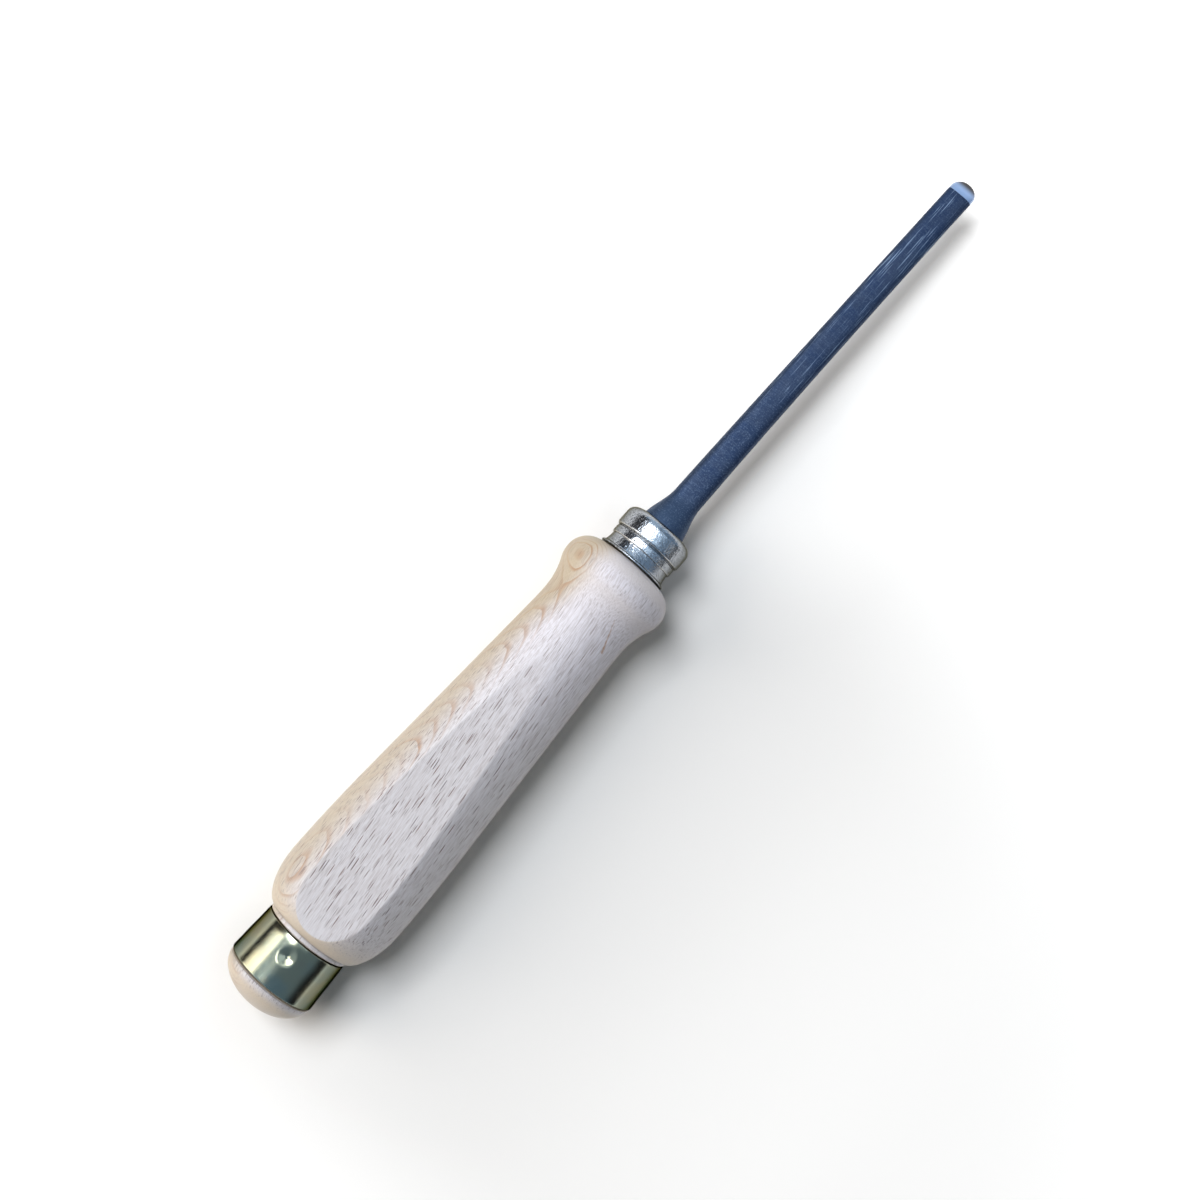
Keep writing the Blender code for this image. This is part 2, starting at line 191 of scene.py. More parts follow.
def skin(name: str, grid: np.ndarray, ends: Ends, marks: dict[str, np.ndarray]) -> bpy.types.Object:
    """Wrap a grid of points, closed across its columns, into a smooth closed mesh.

    Row r and column c meet rows r and r + 1 and columns c and c + 1 in one quad. With poles, the
    first and last row close to their middle points; with a loop, the last row meets the first.

    Args:
        name: Name of the piece.
        grid: Points of shape (rows, columns, 3).
        ends: How the rows close.
        marks: Point attributes of shape (rows, columns).

    Returns:
        The new object, at the origin.
    """
    rows, columns = grid.shape[:2]
    points = grid.reshape(-1, 3)
    values = {key: mark.reshape(-1) for key, mark in marks.items()}
    here = np.arange(rows if ends is Ends.LOOP else rows - 1)[:, None] * columns
    ahead = (here + columns) % (rows * columns)
    column = np.arange(columns)[None, :]
    beside = (column + 1) % columns
    corners = [here + column, here + beside, ahead + beside, ahead + column]
    quads = np.stack(corners, axis=-1).reshape(-1, 4)
    caps = np.empty((0, 3), int)
    if ends is Ends.POLES:
        first, last = rows * columns, rows * columns + 1
        points = np.concatenate([points, grid[[0, -1]].mean(axis=1)])
        values = {key: np.append(mark, [mark[0], mark[-1]]) for key, mark in values.items()}
        near = np.stack([column[0], np.full(columns, first), beside[0]], axis=1)
        far = np.stack([column[0], beside[0], np.full(columns, last)], axis=1)
        far[:, :2] += (rows - 1) * columns
        caps = np.concatenate([near, far])
    caps_as_quads = caps[:, [0, 1, 2, 2]]
    if signed_volume(points, np.concatenate([quads, caps_as_quads])) < 0:
        quads, caps = quads[:, ::-1], caps[:, ::-1]
    mesh = bpy.data.meshes.new(name)
    mesh.from_pydata(points.tolist(), [], quads.tolist() + caps.tolist())
    for key, mark in values.items():
        mesh.attributes.new(key, "FLOAT", "POINT").data.foreach_set("value", mark.astype(np.float32))
    mesh.shade_smooth()
    piece = bpy.data.objects.new(name, mesh)
    bpy.context.scene.collection.objects.link(piece)
    return piece


def stand_for(piece: bpy.types.Object, node: str, finish: bpy.types.Material) -> None:
    """Let a piece take a node's place and finish, and report it.

    Args:
        piece: The new piece.
        node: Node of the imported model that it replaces.
        finish: Material of the piece.
    """
    piece.data.materials.append(finish)
    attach(piece, BODY)
    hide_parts(node)
    LOG.info("%s stands for %s: %d points", piece.name, node, len(piece.data.vertices))


# Shader nodes


class Graph:
    """Adds nodes to one tree; most methods return the socket that the next step reads."""

    def __init__(self, tree: bpy.types.NodeTree) -> None:
        """Start on a node tree."""
        self.tree = tree

    def feed(self, node: bpy.types.Node, values: Feeds) -> None:
        """Link inputs of a node to other sockets, or set them to constants.

        Args:
            node: Node to feed.
            values: Sockets or constants by the input's number or name.
        """
        for key, value in values.items():
            socket = node.inputs[key]
            if isinstance(value, Socket):
                self.tree.links.new(value, socket)
            elif socket.type == "RGBA":
                socket.default_value = (*value, 1.0)
            else:
                socket.default_value = value

    def node(self, kind: str, values: Feeds | None = None, **settings: object) -> bpy.types.Node:
        """Add a node.

        Args:
            kind: Kind of node, such as TexNoise.
            values: What feeds its inputs.
            settings: Properties of the node.

        Returns:
            The new node.
        """
        made = self.tree.nodes.new(f"ShaderNode{kind}")
        for key, setting in settings.items():
            setattr(made, key, setting)
        self.feed(made, values or {})
        return made

    def math(self, operation: str, first: Value, second: Value = 0.0, clamp: bool = False) -> Socket:
        """Arithmetic on one or two values."""
        return self.node("Math", {0: first, 1: second}, operation=operation, use_clamp=clamp).outputs[0]

    def times(self, *values: Value) -> Socket:
        """Product of values."""
        return reduce(lambda first, second: self.math("MULTIPLY", first, second), values)

    def total(self, *values: Value) -> Socket:
        """Sum of values."""
        return reduce(lambda first, second: self.math("ADD", first, second), values)

    def highest(self, *values: Value) -> Socket:
        """Highest of values."""
        return reduce(lambda first, second: self.math("MAXIMUM", first, second), values)

    def minus(self, first: Value, second: Value) -> Socket:
        """First value less the second."""
        return self.math("SUBTRACT", first, second)

    def vector(self, operation: str, first: Value, second: Value = ZERO) -> Socket:
        """Arithmetic on vectors; a dot product or a length comes out as a value."""
        made = self.node("VectorMath", {0: first, 1: second}, operation=operation)
        return made.outputs["Value" if operation in ("DOT_PRODUCT", "LENGTH") else "Vector"]

    def combine(self, x: Value, y: Value, z: Value) -> Socket:
        """Vector from three values."""
        return self.node("CombineXYZ", {0: x, 1: y, 2: z}).outputs[0]

    def split(self, vector: Value) -> tuple[Socket, ...]:
        """Three values of a vector."""
        return tuple(self.node("SeparateXYZ", {0: vector}).outputs)

    def ease(self, value: Value, low: float, high: float) -> Socket:
        """Smooth step from 0 at low to 1 at high."""
        values = {"Value": value, "From Min": low, "From Max": high}
        return self.node("MapRange", values, interpolation_type="SMOOTHSTEP").outputs["Result"]

    def span(self, value: Value, low: float, high: float) -> Socket:
        """Straight mapping of a share from 0 to 1 onto the span from low to high."""
        return self.node("MapRange", {"Value": value, "To Min": low, "To Max": high}).outputs["Result"]

    def mix(self, share: Value, first: Value, second: Value) -> Socket:
        """Colour at a share of the way from one colour to another."""
        return self.node("Mix", {0: share, 6: first, 7: second}, data_type="RGBA").outputs[2]

    def noise(self, vector: Value, scale: float, detail: float = 2.0, rough: float = 0.5) -> Socket:
        """Fractal noise from 0 to 1, with features about 1 / scale wide."""
        values = {"Vector": vector, "Scale": scale, "Detail": detail, "Roughness": rough}
        return self.node("TexNoise", values).outputs[0]

    def position(self) -> Socket:
        """Object coordinates in millimetres."""
        return self.vector("MULTIPLY", self.node("TexCoord").outputs["Object"], (1 / MM,) * 3)

    def mark(self, name: str) -> Socket:
        """Value of a mesh attribute."""
        return self.node("Attribute", attribute_name=name).outputs["Fac"]

    def group(self, tree: bpy.types.NodeTree, **values: Value) -> bpy.types.NodeOutputs:
        """Place a node group, feed its inputs by name and give its outputs."""
        named = {key.capitalize(): value for key, value in values.items()}
        return self.node("Group", named, node_tree=tree).outputs

    def bump(self, height: Value, strength: float, depth: float, below: Value | None = None) -> Socket:
        """Normal bent by a height.

        Args:
            height: Height from 0 to 1.
            strength: Share of the effect.
            depth: Height of 1 in metres.
            below: Normal to start from, if not the surface's own.

        Returns:
            The normal.
        """
        made = self.node("Bump", {"Strength": strength, "Distance": depth, "Height": height})
        if below is not None:
            self.feed(made, {"Normal": below})
        return made.outputs[0]


def new_group(name: str, inputs: dict[str, str],
              outputs: Sequence[str]) -> tuple[Graph, bpy.types.Node, bpy.types.Node]:
    """Start a shader node group.

    Args:
        name: Name of the group.
        inputs: Kinds of its input sockets by name, Float or Vector.
        outputs: Names of its output values.

    Returns:
        The graph to build in, the node that holds the inputs and the node that takes the outputs.
    """
    tree = bpy.data.node_groups.new(name, "ShaderNodeTree")
    for key, kind in inputs.items():
        tree.interface.new_socket(key, in_out="INPUT", socket_type=f"NodeSocket{kind}")
    for key in outputs:
        tree.interface.new_socket(key, in_out="OUTPUT", socket_type="NodeSocketFloat")
    return Graph(tree), tree.nodes.new("NodeGroupInput"), tree.nodes.new("NodeGroupOutput")


def make_fine_grain() -> bpy.types.NodeTree:
    """Make the group for fibres, plating grain and brush lines: noise on stretched coordinates.

    Its inputs are a position in millimetres and the size of a grain in millimetres along each
    axis. It gives a height, and a tone that is the same noise seen in broader patches.

    Returns:
        The group.
    """
    broader = 0.23
    inputs = {"Position": "Vector", "Size": "Vector"}
    graph, inside, outside = new_group("fine_grain", inputs, ("Height", "Tone"))
    stretched = graph.vector("DIVIDE", inside.outputs["Position"], inside.outputs["Size"])
    height = graph.noise(stretched, scale=1.0, detail=3.0, rough=0.55)
    graph.feed(outside, {"Height": height, "Tone": graph.noise(stretched, broader)})
    return graph.tree


def make_rubbed_edges() -> bpy.types.NodeTree:
    """Make the group for wear: an edge mark broken up by noise, so that rubbed places are uneven.

    Its inputs are the mark, a position in millimetres and the amount of wear. It gives a mask.

    Returns:
        The group.
    """
    wear_edge = (0.25, 0.95)
    inputs = {"Edge": "Float", "Position": "Vector", "Amount": "Float"}
    graph, inside, outside = new_group("rubbed_edges", inputs, ("Mask",))
    patches = graph.noise(inside.outputs["Position"], scale=0.9, detail=4.0, rough=0.6)
    reach = graph.times(inside.outputs["Edge"], inside.outputs["Amount"])
    raised = graph.total(reach, graph.times(graph.minus(patches, 0.5), reach))
    graph.feed(outside, {"Mask": graph.ease(raised, *wear_edge)})
    return graph.tree


@dataclass(frozen=True)
class SharedEffects:
    """Node groups that more than one finish uses."""

    fine_grain: bpy.types.NodeTree
    rubbed_edges: bpy.types.NodeTree

    def grain(self, graph: Graph, position: Value, size: Triple) -> bpy.types.NodeOutputs:
        """Height and tone of a grain of that size."""
        return graph.group(self.fine_grain, position=position, size=size)

    def worn(self, graph: Graph, position: Value, amount: float) -> Socket:
        """Mask of the piece's worn edges."""
        edge = graph.mark("edge")
        return graph.group(self.rubbed_edges, edge=edge, position=position, amount=amount)["Mask"]


def new_finish(name: str) -> tuple[Graph, bpy.types.Node, bpy.types.Material]:
    """Start a material.

    Args:
        name: Name of the material.

    Returns:
        Its graph, its Principled shader and the material.
    """
    material = bpy.data.materials.new(name)
    material.use_nodes = True
    return Graph(material.node_tree), material.node_tree.nodes["Principled BSDF"], material


# Finishes


@dataclass(frozen=True)
class BeechFinish:
    """Waxed pale beech: growth rings, ray flecks and fibres that run through the solid wood.

    The grain runs aslant to the tool's axis, so that the rings come out as arches on one flank.
    A pair of numbers holds the two ends of a step, or a share at mark 0 and at mark 1.
    The colours hold painted light: the +Y flank and the underside are painted warm as warm light
    and its bounce, the front is painted paler and bluer as sheen, and the flats a little cooler
    as light from above.
    """

    # painted light: warm colour of the +Y flank and the underside, as warm light and its bounce
    painted_warm_wood: Colour = (0.520, 0.432, 0.310)
    late: Colour = (0.41, 0.205, 0.09)
    pale: Colour = (0.68, 0.66, 0.69)
    # painted sheen: the front of the handle painted paler and bluer, as the cool sheen on waist and bead
    painted_front_sheen: Colour = (0.82, 0.795, 0.86)
    # planed flats, partly painted a little lighter and bluer as cool light from above
    planed_painted_cool: Colour = (0.71, 0.70, 0.74)
    planed_share: float = 0.3
    end_grain: Colour = (0.66, 0.53, 0.37)
    end_share: Span = (0.85, 0.25)
    cloud: Colour = (0.56, 0.50, 0.48)
    cloud_share: Span = (0.0, 0.10)
    grain_slant: float = math.radians(6.5)
    ring_facing: float = math.radians(44.0)
    ring_width: float = 0.75
    pith_distance: float = 70.0
    ring_sway: float = 2.2
    sway_scale: Triple = (0.02, 0.09, 0.09)
    ring_rise: Span = (0.55, 0.93)
    ring_end: Span = (0.0, 0.06)
    ring_strength: Span = (0.15, 1.0)
    arch_share: Span = (0.06, 0.55)
    crest_share: float = 0.75
    pale_pore: Colour = (0.42, 0.365, 0.365)
    # painted light: warmer pores where the flank and the underside are painted warm
    painted_warm_pore: Colour = (0.37, 0.285, 0.205)
    pore_on_end: Span = (1.0, 0.3)
    fibre_size: Triple = (7.0, 0.25, 0.27)
    fibre_edge: Span = (0.55, 0.36)
    fibre_share: Span = (0.36, 0.46)
    hair_size: Triple = (2.4, 0.17, 0.18)
    hair_edge: Span = (0.54, 0.40)
    hair_share: float = 0.32
    fleck: Colour = (0.19, 0.10, 0.08)
    dusky: Colour = (0.12, 0.085, 0.09)
    fleck_cell: Triple = (3.2, 0.52, 0.58)
    fleck_size: Triple = (2.1, 0.12, 0.17)
    fleck_spread: Span = (0.45, 1.25)
    fleck_edge: Span = (1.0, 0.68)
    fleck_strength: Span = (0.35, 1.0)
    fleck_on_end: Span = (1.0, 0.15)
    fleck_on_front: Span = (1.0, 0.45)
    dash_shrink: float = 0.55
    dash_share: float = 0.4
    streak_start: Triple = (-15.3, -8.5, 0.0)
    streak_end: Triple = (-7.8, -5.9, 0.0)
    streak_rag: float = 0.5
    streak_taper: float = 0.22
    streak_edge: Span = (0.62, 0.30)
    streak_height: Span = (13.0, 16.0)
    streak_share: float = 0.8
    # glue and dirt in the joints, with painted shade in the corners between the parts
    seam_dirt_and_shade: Colour = (0.10, 0.06, 0.035)
    seam_share: float = 0.7
    roughness: float = 0.40
    flat_roughness: float = 0.18
    front_roughness: float = 0.18
    fibre_roughness: float = 0.10
    coat_on_front: Span = (1.0, 0.35)
    coat_on_flat: Span = (1.0, 0.05)
    coat_roughness: float = 0.56
    fibre_height: float = 0.5
    fleck_depth: float = 0.6
    bump: float = 0.35
    bump_depth: float = 0.06 * MM

    def grain_axes(self) -> tuple[Vector, Vector, Vector]:
        """Work out the wood's own axes from the slant of the grain and the way the rings face.

        Returns:
            Unit vectors along the grain, along the rings and across them.
        """
        grain = Vector((math.cos(self.grain_slant), math.sin(self.grain_slant), 0.0))
        facing = Vector((0.0, math.sin(self.ring_facing), math.cos(self.ring_facing)))
        across = (facing - facing.dot(grain) * grain).normalized()
        return grain, grain.cross(across), across

    def wood_position(self, graph: Graph) -> list[Socket]:
        """Position in millimetres along the grain, along the rings and across them."""
        position = graph.position()
        return [graph.vector("DOT_PRODUCT", position, tuple(axis)) for axis in self.grain_axes()]

    def rings(self, graph: Graph, place: Value, around: Value, across: Value) -> Socket:
        """Late wood of the growth rings.

        The depth across the rings, bent by the pith's distance and by noise, is counted in ring
        widths. Its fraction gives each ring a soft rise and a sharp end, and each ring has its
        own strength.

        Args:
            graph: Graph to build in.
            place: Position in the wood's axes.
            around: Position along the rings.
            across: Position across the rings.

        Returns:
            Mask of the late wood.
        """
        square = graph.math("POWER", graph.math("ABSOLUTE", around), 2.0)
        curve = graph.math("DIVIDE", square, 2 * self.pith_distance)
        slow = graph.vector("MULTIPLY", place, self.sway_scale)
        sway = graph.times(graph.minus(graph.noise(slow, scale=1.0, detail=3.0), 0.5), self.ring_sway)
        depth = graph.total(graph.minus(across, curve), sway)
        count = graph.math("DIVIDE", depth, self.ring_width)
        share = graph.math("FRACT", count)
        own = graph.node("TexWhiteNoise", noise_dimensions="1D")
        graph.feed(own, {"W": graph.math("FLOOR", count)})
        rise = graph.ease(share, *self.ring_rise)
        end = graph.ease(graph.minus(1.0, share), *self.ring_end)
        return graph.times(rise, end, graph.span(own.outputs["Value"], *self.ring_strength))

    def flecks(self, graph: Graph, place: Value, shrink: float) -> tuple[Socket, Socket]:
        """Ray flecks: thin spindles, one in each cell of a Voronoi pattern stretched along the grain.

        Args:
            graph: Graph to build in.
            place: Position in the wood's axes.
            shrink: Size of the cells and spindles against the finish's own sizes.

        Returns:
            Mask of the flecks, and a random value of each fleck.
        """
        cell = tuple(size * shrink for size in self.fleck_cell)
        stretch = tuple(whole / part for whole, part in zip(self.fleck_cell, self.fleck_size))
        scaled = graph.vector("DIVIDE", place, cell)
        cells = graph.node("TexVoronoi", {"Vector": scaled, "Scale": 1.0})
        offset = graph.vector("SUBTRACT", scaled, cells.outputs["Position"])
        distance = graph.vector("LENGTH", graph.vector("MULTIPLY", offset, stretch))
        large, strong, own = graph.node("SeparateColor", {0: cells.outputs["Color"]}).outputs
        size = graph.span(large, *self.fleck_spread)
        near = graph.ease(graph.math("DIVIDE", distance, size), *self.fleck_edge)
        return graph.times(near, graph.span(strong, *self.fleck_strength)), own

    def resin_streak(self, graph: Graph) -> Socket:
        """Thin brown streak on the waist: a tapering line between two places seen from above.

        The nearest point of the line is its start plus a clamped share of its run, and the mask
        falls with the distance from it.

        Args:
            graph: Graph to build in.

        Returns:
            Mask of the streak, on the upper half only.
        """
        start, end = Vector(self.streak_start), Vector(self.streak_end)
        line = end - start
        place = graph.position()
        flattened = graph.vector("MULTIPLY", place, (1.0, 1.0, 0.0))
        offset = graph.vector("SUBTRACT", flattened, tuple(start))
        along = graph.vector("DOT_PRODUCT", offset, tuple(line / line.length_squared))
        share = graph.math("ADD", along, 0.0, clamp=True)
        nearest = graph.vector("MULTIPLY", graph.combine(share, share, share), tuple(line))
        away = graph.vector("LENGTH", graph.vector("SUBTRACT", offset, nearest))
        rag = graph.times(graph.noise(place, scale=1.6, detail=3.0), self.streak_rag)
        ragged = graph.total(away, rag, graph.times(share, self.streak_taper))
        thin = graph.ease(ragged, *self.streak_edge)
        height = graph.split(place)[2]
        return graph.times(thin, graph.ease(height, *self.streak_height))

    def body(self, graph: Graph, marks: Mapping[str, Socket], rings: Value) -> Socket:
        """Colour of the wood under its pores and flecks.

        The side painted warm, as warm light on the +Y flank and its bounce below, lies over the pale
        side, whose front is painted paler and bluer as sheen; the planed flats, painted a little cooler
        as light from above, and the end grain lie over both, and the late wood of the rings over all,
        most on the side painted warm and along the crest.

        Args:
            graph: Graph to build in.
            marks: Marks of the handle.
            rings: Mask of the late wood.

        Returns:
            The colour.
        """
        flat, painted_warm_light, front = marks["flat"], marks["painted_warm_light"], marks["front"]
        round_side = graph.minus(1.0, flat)
        # painted light: the side painted warm over the pale side, whose front is painted paler and bluer
        # as sheen
        turned = graph.mix(painted_warm_light, graph.mix(front, self.pale, self.painted_front_sheen), self.painted_warm_wood)
        body = graph.mix(graph.times(flat, self.planed_share), turned, self.planed_painted_cool)
        ended = graph.times(marks["end"], round_side, graph.span(front, *self.end_share))
        body = graph.mix(ended, body, self.end_grain)
        broad = graph.span(graph.times(painted_warm_light, round_side), *self.arch_share)
        crest = graph.times(marks["crest"], round_side, self.crest_share)
        arches = graph.math("MULTIPLY", rings, graph.total(broad, crest), clamp=True)
        return graph.mix(arches, body, self.late)

    def pores(self, graph: Graph, marks: Mapping[str, Socket], fine: Value, hairs: Value,
              body: Value) -> Socket:
        """Colour with dark pores along the grain, fewer where the grain is cut across.

        Args:
            graph: Graph to build in.
            marks: Marks of the handle.
            fine: Height of the long fibres.
            hairs: Height of the short fibres.
            body: Colour of the wood.

        Returns:
            The colour.
        """
        cut_along = graph.span(marks["end"], *self.pore_on_end)
        round_side = graph.minus(1.0, marks["flat"])
        # painted light: pores take the painted warm colour on the side painted warm
        pore = graph.mix(marks["painted_warm_light"], self.pale_pore, self.painted_warm_pore)
        on_round = graph.span(round_side, *self.fibre_share)
        lines = graph.times(graph.ease(fine, *self.fibre_edge), on_round, cut_along)
        thin = graph.times(graph.ease(hairs, *self.hair_edge), self.hair_share, cut_along)
        return graph.mix(thin, graph.mix(lines, body, pore), pore)

    def make(self, shared: SharedEffects) -> bpy.types.Material:
        """Build the material.

        Args:
            shared: Effects that several finishes use.

        Returns:
            The finished material.
        """
        graph, shader, material = new_finish("waxed_beech")
        along, around, across = self.wood_position(graph)
        place = graph.combine(along, around, across)
        marks = {name: graph.mark(name) for name in ("flat", "seam", "painted_warm_light", "crest", "end", "front")}
        flat, front = marks["flat"], marks["front"]
        fibres = shared.grain(graph, place, self.fibre_size)
        hairs = shared.grain(graph, place, self.hair_size)
        fine = fibres["Height"]
        flecks, own = self.flecks(graph, place, 1.0)
        dashes, _ = self.flecks(graph, place, self.dash_shrink)
        body = self.body(graph, marks, self.rings(graph, place, around, across))
        cloudy = graph.mix(graph.span(fibres["Tone"], *self.cloud_share), body, self.cloud)
        porous = self.pores(graph, marks, fine, hairs["Height"], cloudy)
        length_side = graph.times(
            graph.span(marks["end"], *self.fleck_on_end), graph.span(front, *self.fleck_on_front))
        dashed = graph.mix(graph.times(dashes, length_side, self.dash_share), porous, self.dusky)
        tone = graph.mix(own, self.fleck, self.dusky)
        flecked = graph.mix(graph.times(flecks, length_side), dashed, tone)
        streak = graph.times(self.resin_streak(graph), self.streak_share)
        streaked = graph.mix(streak, flecked, self.late)
        # seam: glue and dirt, and painted shade in the corners between hoop, collar and ferrule
        seam = graph.times(marks["seam"], self.seam_share)
        rough = graph.total(
            self.roughness, graph.times(flat, self.flat_roughness),
            graph.times(front, self.front_roughness), graph.times(fine, self.fibre_roughness))
        pitted = graph.minus(graph.times(fine, self.fibre_height), graph.times(flecks, self.fleck_depth))
        coat = graph.times(graph.span(front, *self.coat_on_front), graph.span(flat, *self.coat_on_flat))
        graph.feed(shader, {
            "Base Color": graph.mix(seam, streaked, self.seam_dirt_and_shade),
            "Roughness": rough,
            "Normal": graph.bump(pitted, self.bump, self.bump_depth),
            "Coat Weight": coat,
            "Coat Roughness": self.coat_roughness})
        return material


@dataclass(frozen=True)
class ZincFinish:
    """Yellow passivated zinc: a satin mirror whose tint drifts from gold to green and rose."""

    gold: Colour = (0.255, 0.25, 0.175)
    green: Colour = (0.205, 0.24, 0.205)
    green_scale: float = 0.14
    green_edge: Span = (0.35, 0.70)
    rose: Colour = (0.25, 0.235, 0.17)
    rose_scale: float = 0.23
    rose_edge: Span = (0.55, 0.8)
    bright: Colour = (0.60, 0.60, 0.56)
    wear: float = 0.35
    rim: Colour = (0.05, 0.042, 0.01)
    grain_size: Triple = (0.5, 0.16, 0.16)
    roughness: Span = (0.09, 0.25)
    bump: float = 0.32
    bump_depth: float = 0.03 * MM

    def make(self, shared: SharedEffects) -> bpy.types.Material:
        """Build the material.

        Args:
            shared: Effects that several finishes use.

        Returns:
            The finished material.
        """
        graph, shader, material = new_finish("yellow_zinc_plate")
        position = graph.position()
        grain = shared.grain(graph, position, self.grain_size)
        green = graph.ease(graph.noise(position, self.green_scale), *self.green_edge)
        rose = graph.ease(graph.noise(position, self.rose_scale), *self.rose_edge)
        tint = graph.mix(rose, graph.mix(green, self.gold, self.green), self.rose)
        graph.feed(shader, {
            "Base Color": graph.mix(shared.worn(graph, position, self.wear), tint, self.bright),
            "Metallic": 1.0,
            "Specular Tint": self.rim,
            "Roughness": graph.span(grain["Tone"], *self.roughness),
            "Normal": graph.bump(grain["Height"], self.bump, self.bump_depth)})
        return material


@dataclass(frozen=True)
class NickelFinish:
    """Bright nickel over a drawn ferrule: a sharp mirror broken by orange peel and fine specks."""

    plate: Colour = (0.40, 0.42, 0.45)
    dull: Colour = (0.035, 0.032, 0.034)
    dull_edge: Span = (0.47, 0.68)
    dull_share: float = 0.85
    groove: Colour = (0.06, 0.05, 0.04)
    groove_share: float = 0.5
    bright: Colour = (0.80, 0.78, 0.74)
    wear: float = 0.8
    rim: Colour = (0.30, 0.27, 0.17)
    roughness: Span = (0.17, 0.39)
    peel_size: Triple = (0.9, 0.7, 0.7)
    peel_bump: float = 0.8
    peel_depth: float = 0.16 * MM
    speck_size: Triple = (0.42, 0.15, 0.15)
    speck_bump: float = 0.45
    speck_depth: float = 0.03 * MM

    def make(self, shared: SharedEffects) -> bpy.types.Material:
        """Build the material.

        Args:
            shared: Effects that several finishes use.

        Returns:
            The finished material.
        """
        graph, shader, material = new_finish("bright_nickel_plate")
        position = graph.position()
        peel = shared.grain(graph, position, self.peel_size)["Height"]
        specks = shared.grain(graph, position, self.speck_size)["Height"]
        dulled = graph.ease(specks, *self.dull_edge)
        tint = graph.mix(graph.times(dulled, self.dull_share), self.plate, self.dull)
        tint = graph.mix(graph.times(graph.mark("seam"), self.groove_share), tint, self.groove)
        peeled = graph.bump(peel, self.peel_bump, self.peel_depth)
        graph.feed(shader, {
            "Base Color": graph.mix(shared.worn(graph, position, self.wear), tint, self.bright),
            "Metallic": 1.0,
            "Specular Tint": self.rim,
            "Roughness": graph.span(dulled, *self.roughness),
            "Normal": graph.bump(specks, self.speck_bump, self.speck_depth, peeled)})
        return material


@dataclass(frozen=True)
class BluedFinish:
    """Blued forged steel with cross grinding and rubbed streaks, and a bright ground nose."""

    blue: Colour = (0.025, 0.041, 0.084)
    slate: Colour = (0.035, 0.050, 0.089)
    slate_scale: float = 0.22
    slate_edge: Span = (0.3, 0.7)
    scale: Colour = (0.046, 0.070, 0.118)
    rubbed: Colour = (0.30, 0.38, 0.50)
    cross_size: Triple = (0.22, 2.2, 2.2)
    cross_edge: Span = (0.48, 0.8)
    cross_share: Span = (0.12, 0.06)
    grit_size: Triple = (0.34, 0.34, 0.34)
    grit_edge: Span = (0.50, 0.74)
    grit_share: Span = (0.20, 0.06)
    streak_size: Triple = (13.0, 0.30, 0.30)
    streak_edge: Span = (0.56, 0.67)
    run_size: Triple = (24.0, 3.0, 3.0)
    run_edge: Span = (0.40, 0.54)
    wear: float = 0.55
    wear_share: float = 0.2
    ground: Colour = (0.36, 0.44, 0.60)
    ground_polish: float = 0.22
    # painted reflection: dark colour of the nose's rim, as the curved bevel mirrors a dark surround
    rim: Colour = (0.05, 0.045, 0.045)
    roughness: Span = (0.55, 0.68)
    bump: float = 0.18
    bump_depth: float = 0.03 * MM

    def make(self, shared: SharedEffects) -> bpy.types.Material:
        """Build the material.

        Args:
            shared: Effects that several finishes use.

        Returns:
            The finished material.
        """
        graph, shader, material = new_finish("blued_forged_steel")
        position = graph.position()
        ground, rubbed = graph.mark("ground"), graph.mark("rubbed")
        cross = shared.grain(graph, position, self.cross_size)
        grit = shared.grain(graph, position, self.grit_size)["Height"]
        lengthwise = shared.grain(graph, position, self.streak_size)["Height"]
        runs = shared.grain(graph, position, self.run_size)["Height"]
        patches = graph.noise(position, self.slate_scale, detail=3.0, rough=0.6)
        body = graph.mix(graph.ease(patches, *self.slate_edge), self.blue, self.slate)
        body = graph.mix(graph.mark("root"), body, self.scale)
        crossed = graph.times(
            graph.ease(cross["Height"], *self.cross_edge), graph.span(rubbed, *self.cross_share))
        gritty = graph.times(graph.ease(grit, *self.grit_edge), graph.span(rubbed, *self.grit_share))
        worn_away = graph.times(rubbed, graph.ease(runs, *self.run_edge))
        streaks = graph.times(graph.ease(lengthwise, *self.streak_edge), worn_away)
        worn = graph.times(shared.worn(graph, position, self.wear), self.wear_share)
        for mask in (crossed, gritty, graph.total(streaks, worn)):
            body = graph.mix(mask, body, self.rubbed)
        # painted reflection: the ground nose darkens towards its rim
        nose = graph.mix(graph.mark("rim"), self.ground, self.rim)
        rough = graph.span(cross["Tone"], *self.roughness)
        graph.feed(shader, {
            "Base Color": graph.mix(ground, body, nose),
            "Metallic": 1.0,
            "Roughness": graph.minus(rough, graph.times(ground, self.ground_polish)),
            "Normal": graph.bump(cross["Height"], self.bump, self.bump_depth)})
        return material


# The tool's pieces


@dataclass(frozen=True)
class ToolAxis:
    """Line that the tool is turned about, leaning back a little as it lies on the bench."""

    rear: float
    height: float
    lean: float

    def place(self, station: np.ndarray, across: np.ndarray, up: np.ndarray) -> np.ndarray:
        """Points in the row frame: the axis's rear end plus the three distances, turned by the lean.

        Args:
            station: Stations.
            across: Distances towards +Y.
            up: Heights over the axis.

        Returns:
            Array of points, with the shape that the arguments have together.
        """
        cosine, sine = math.cos(self.lean), math.sin(self.lean)
        x = self.rear + station * cosine - up * sine
        z = self.height + station * sine + up * cosine
        return np.stack(np.broadcast_arrays(x, across, z), axis=-1)

    def turned(self, station: np.ndarray, radius: np.ndarray, turn: np.ndarray) -> np.ndarray:
        """Points in the row frame from stations, radii and turns."""
        return self.place(station, radius * np.sin(turn), radius * np.cos(turn))


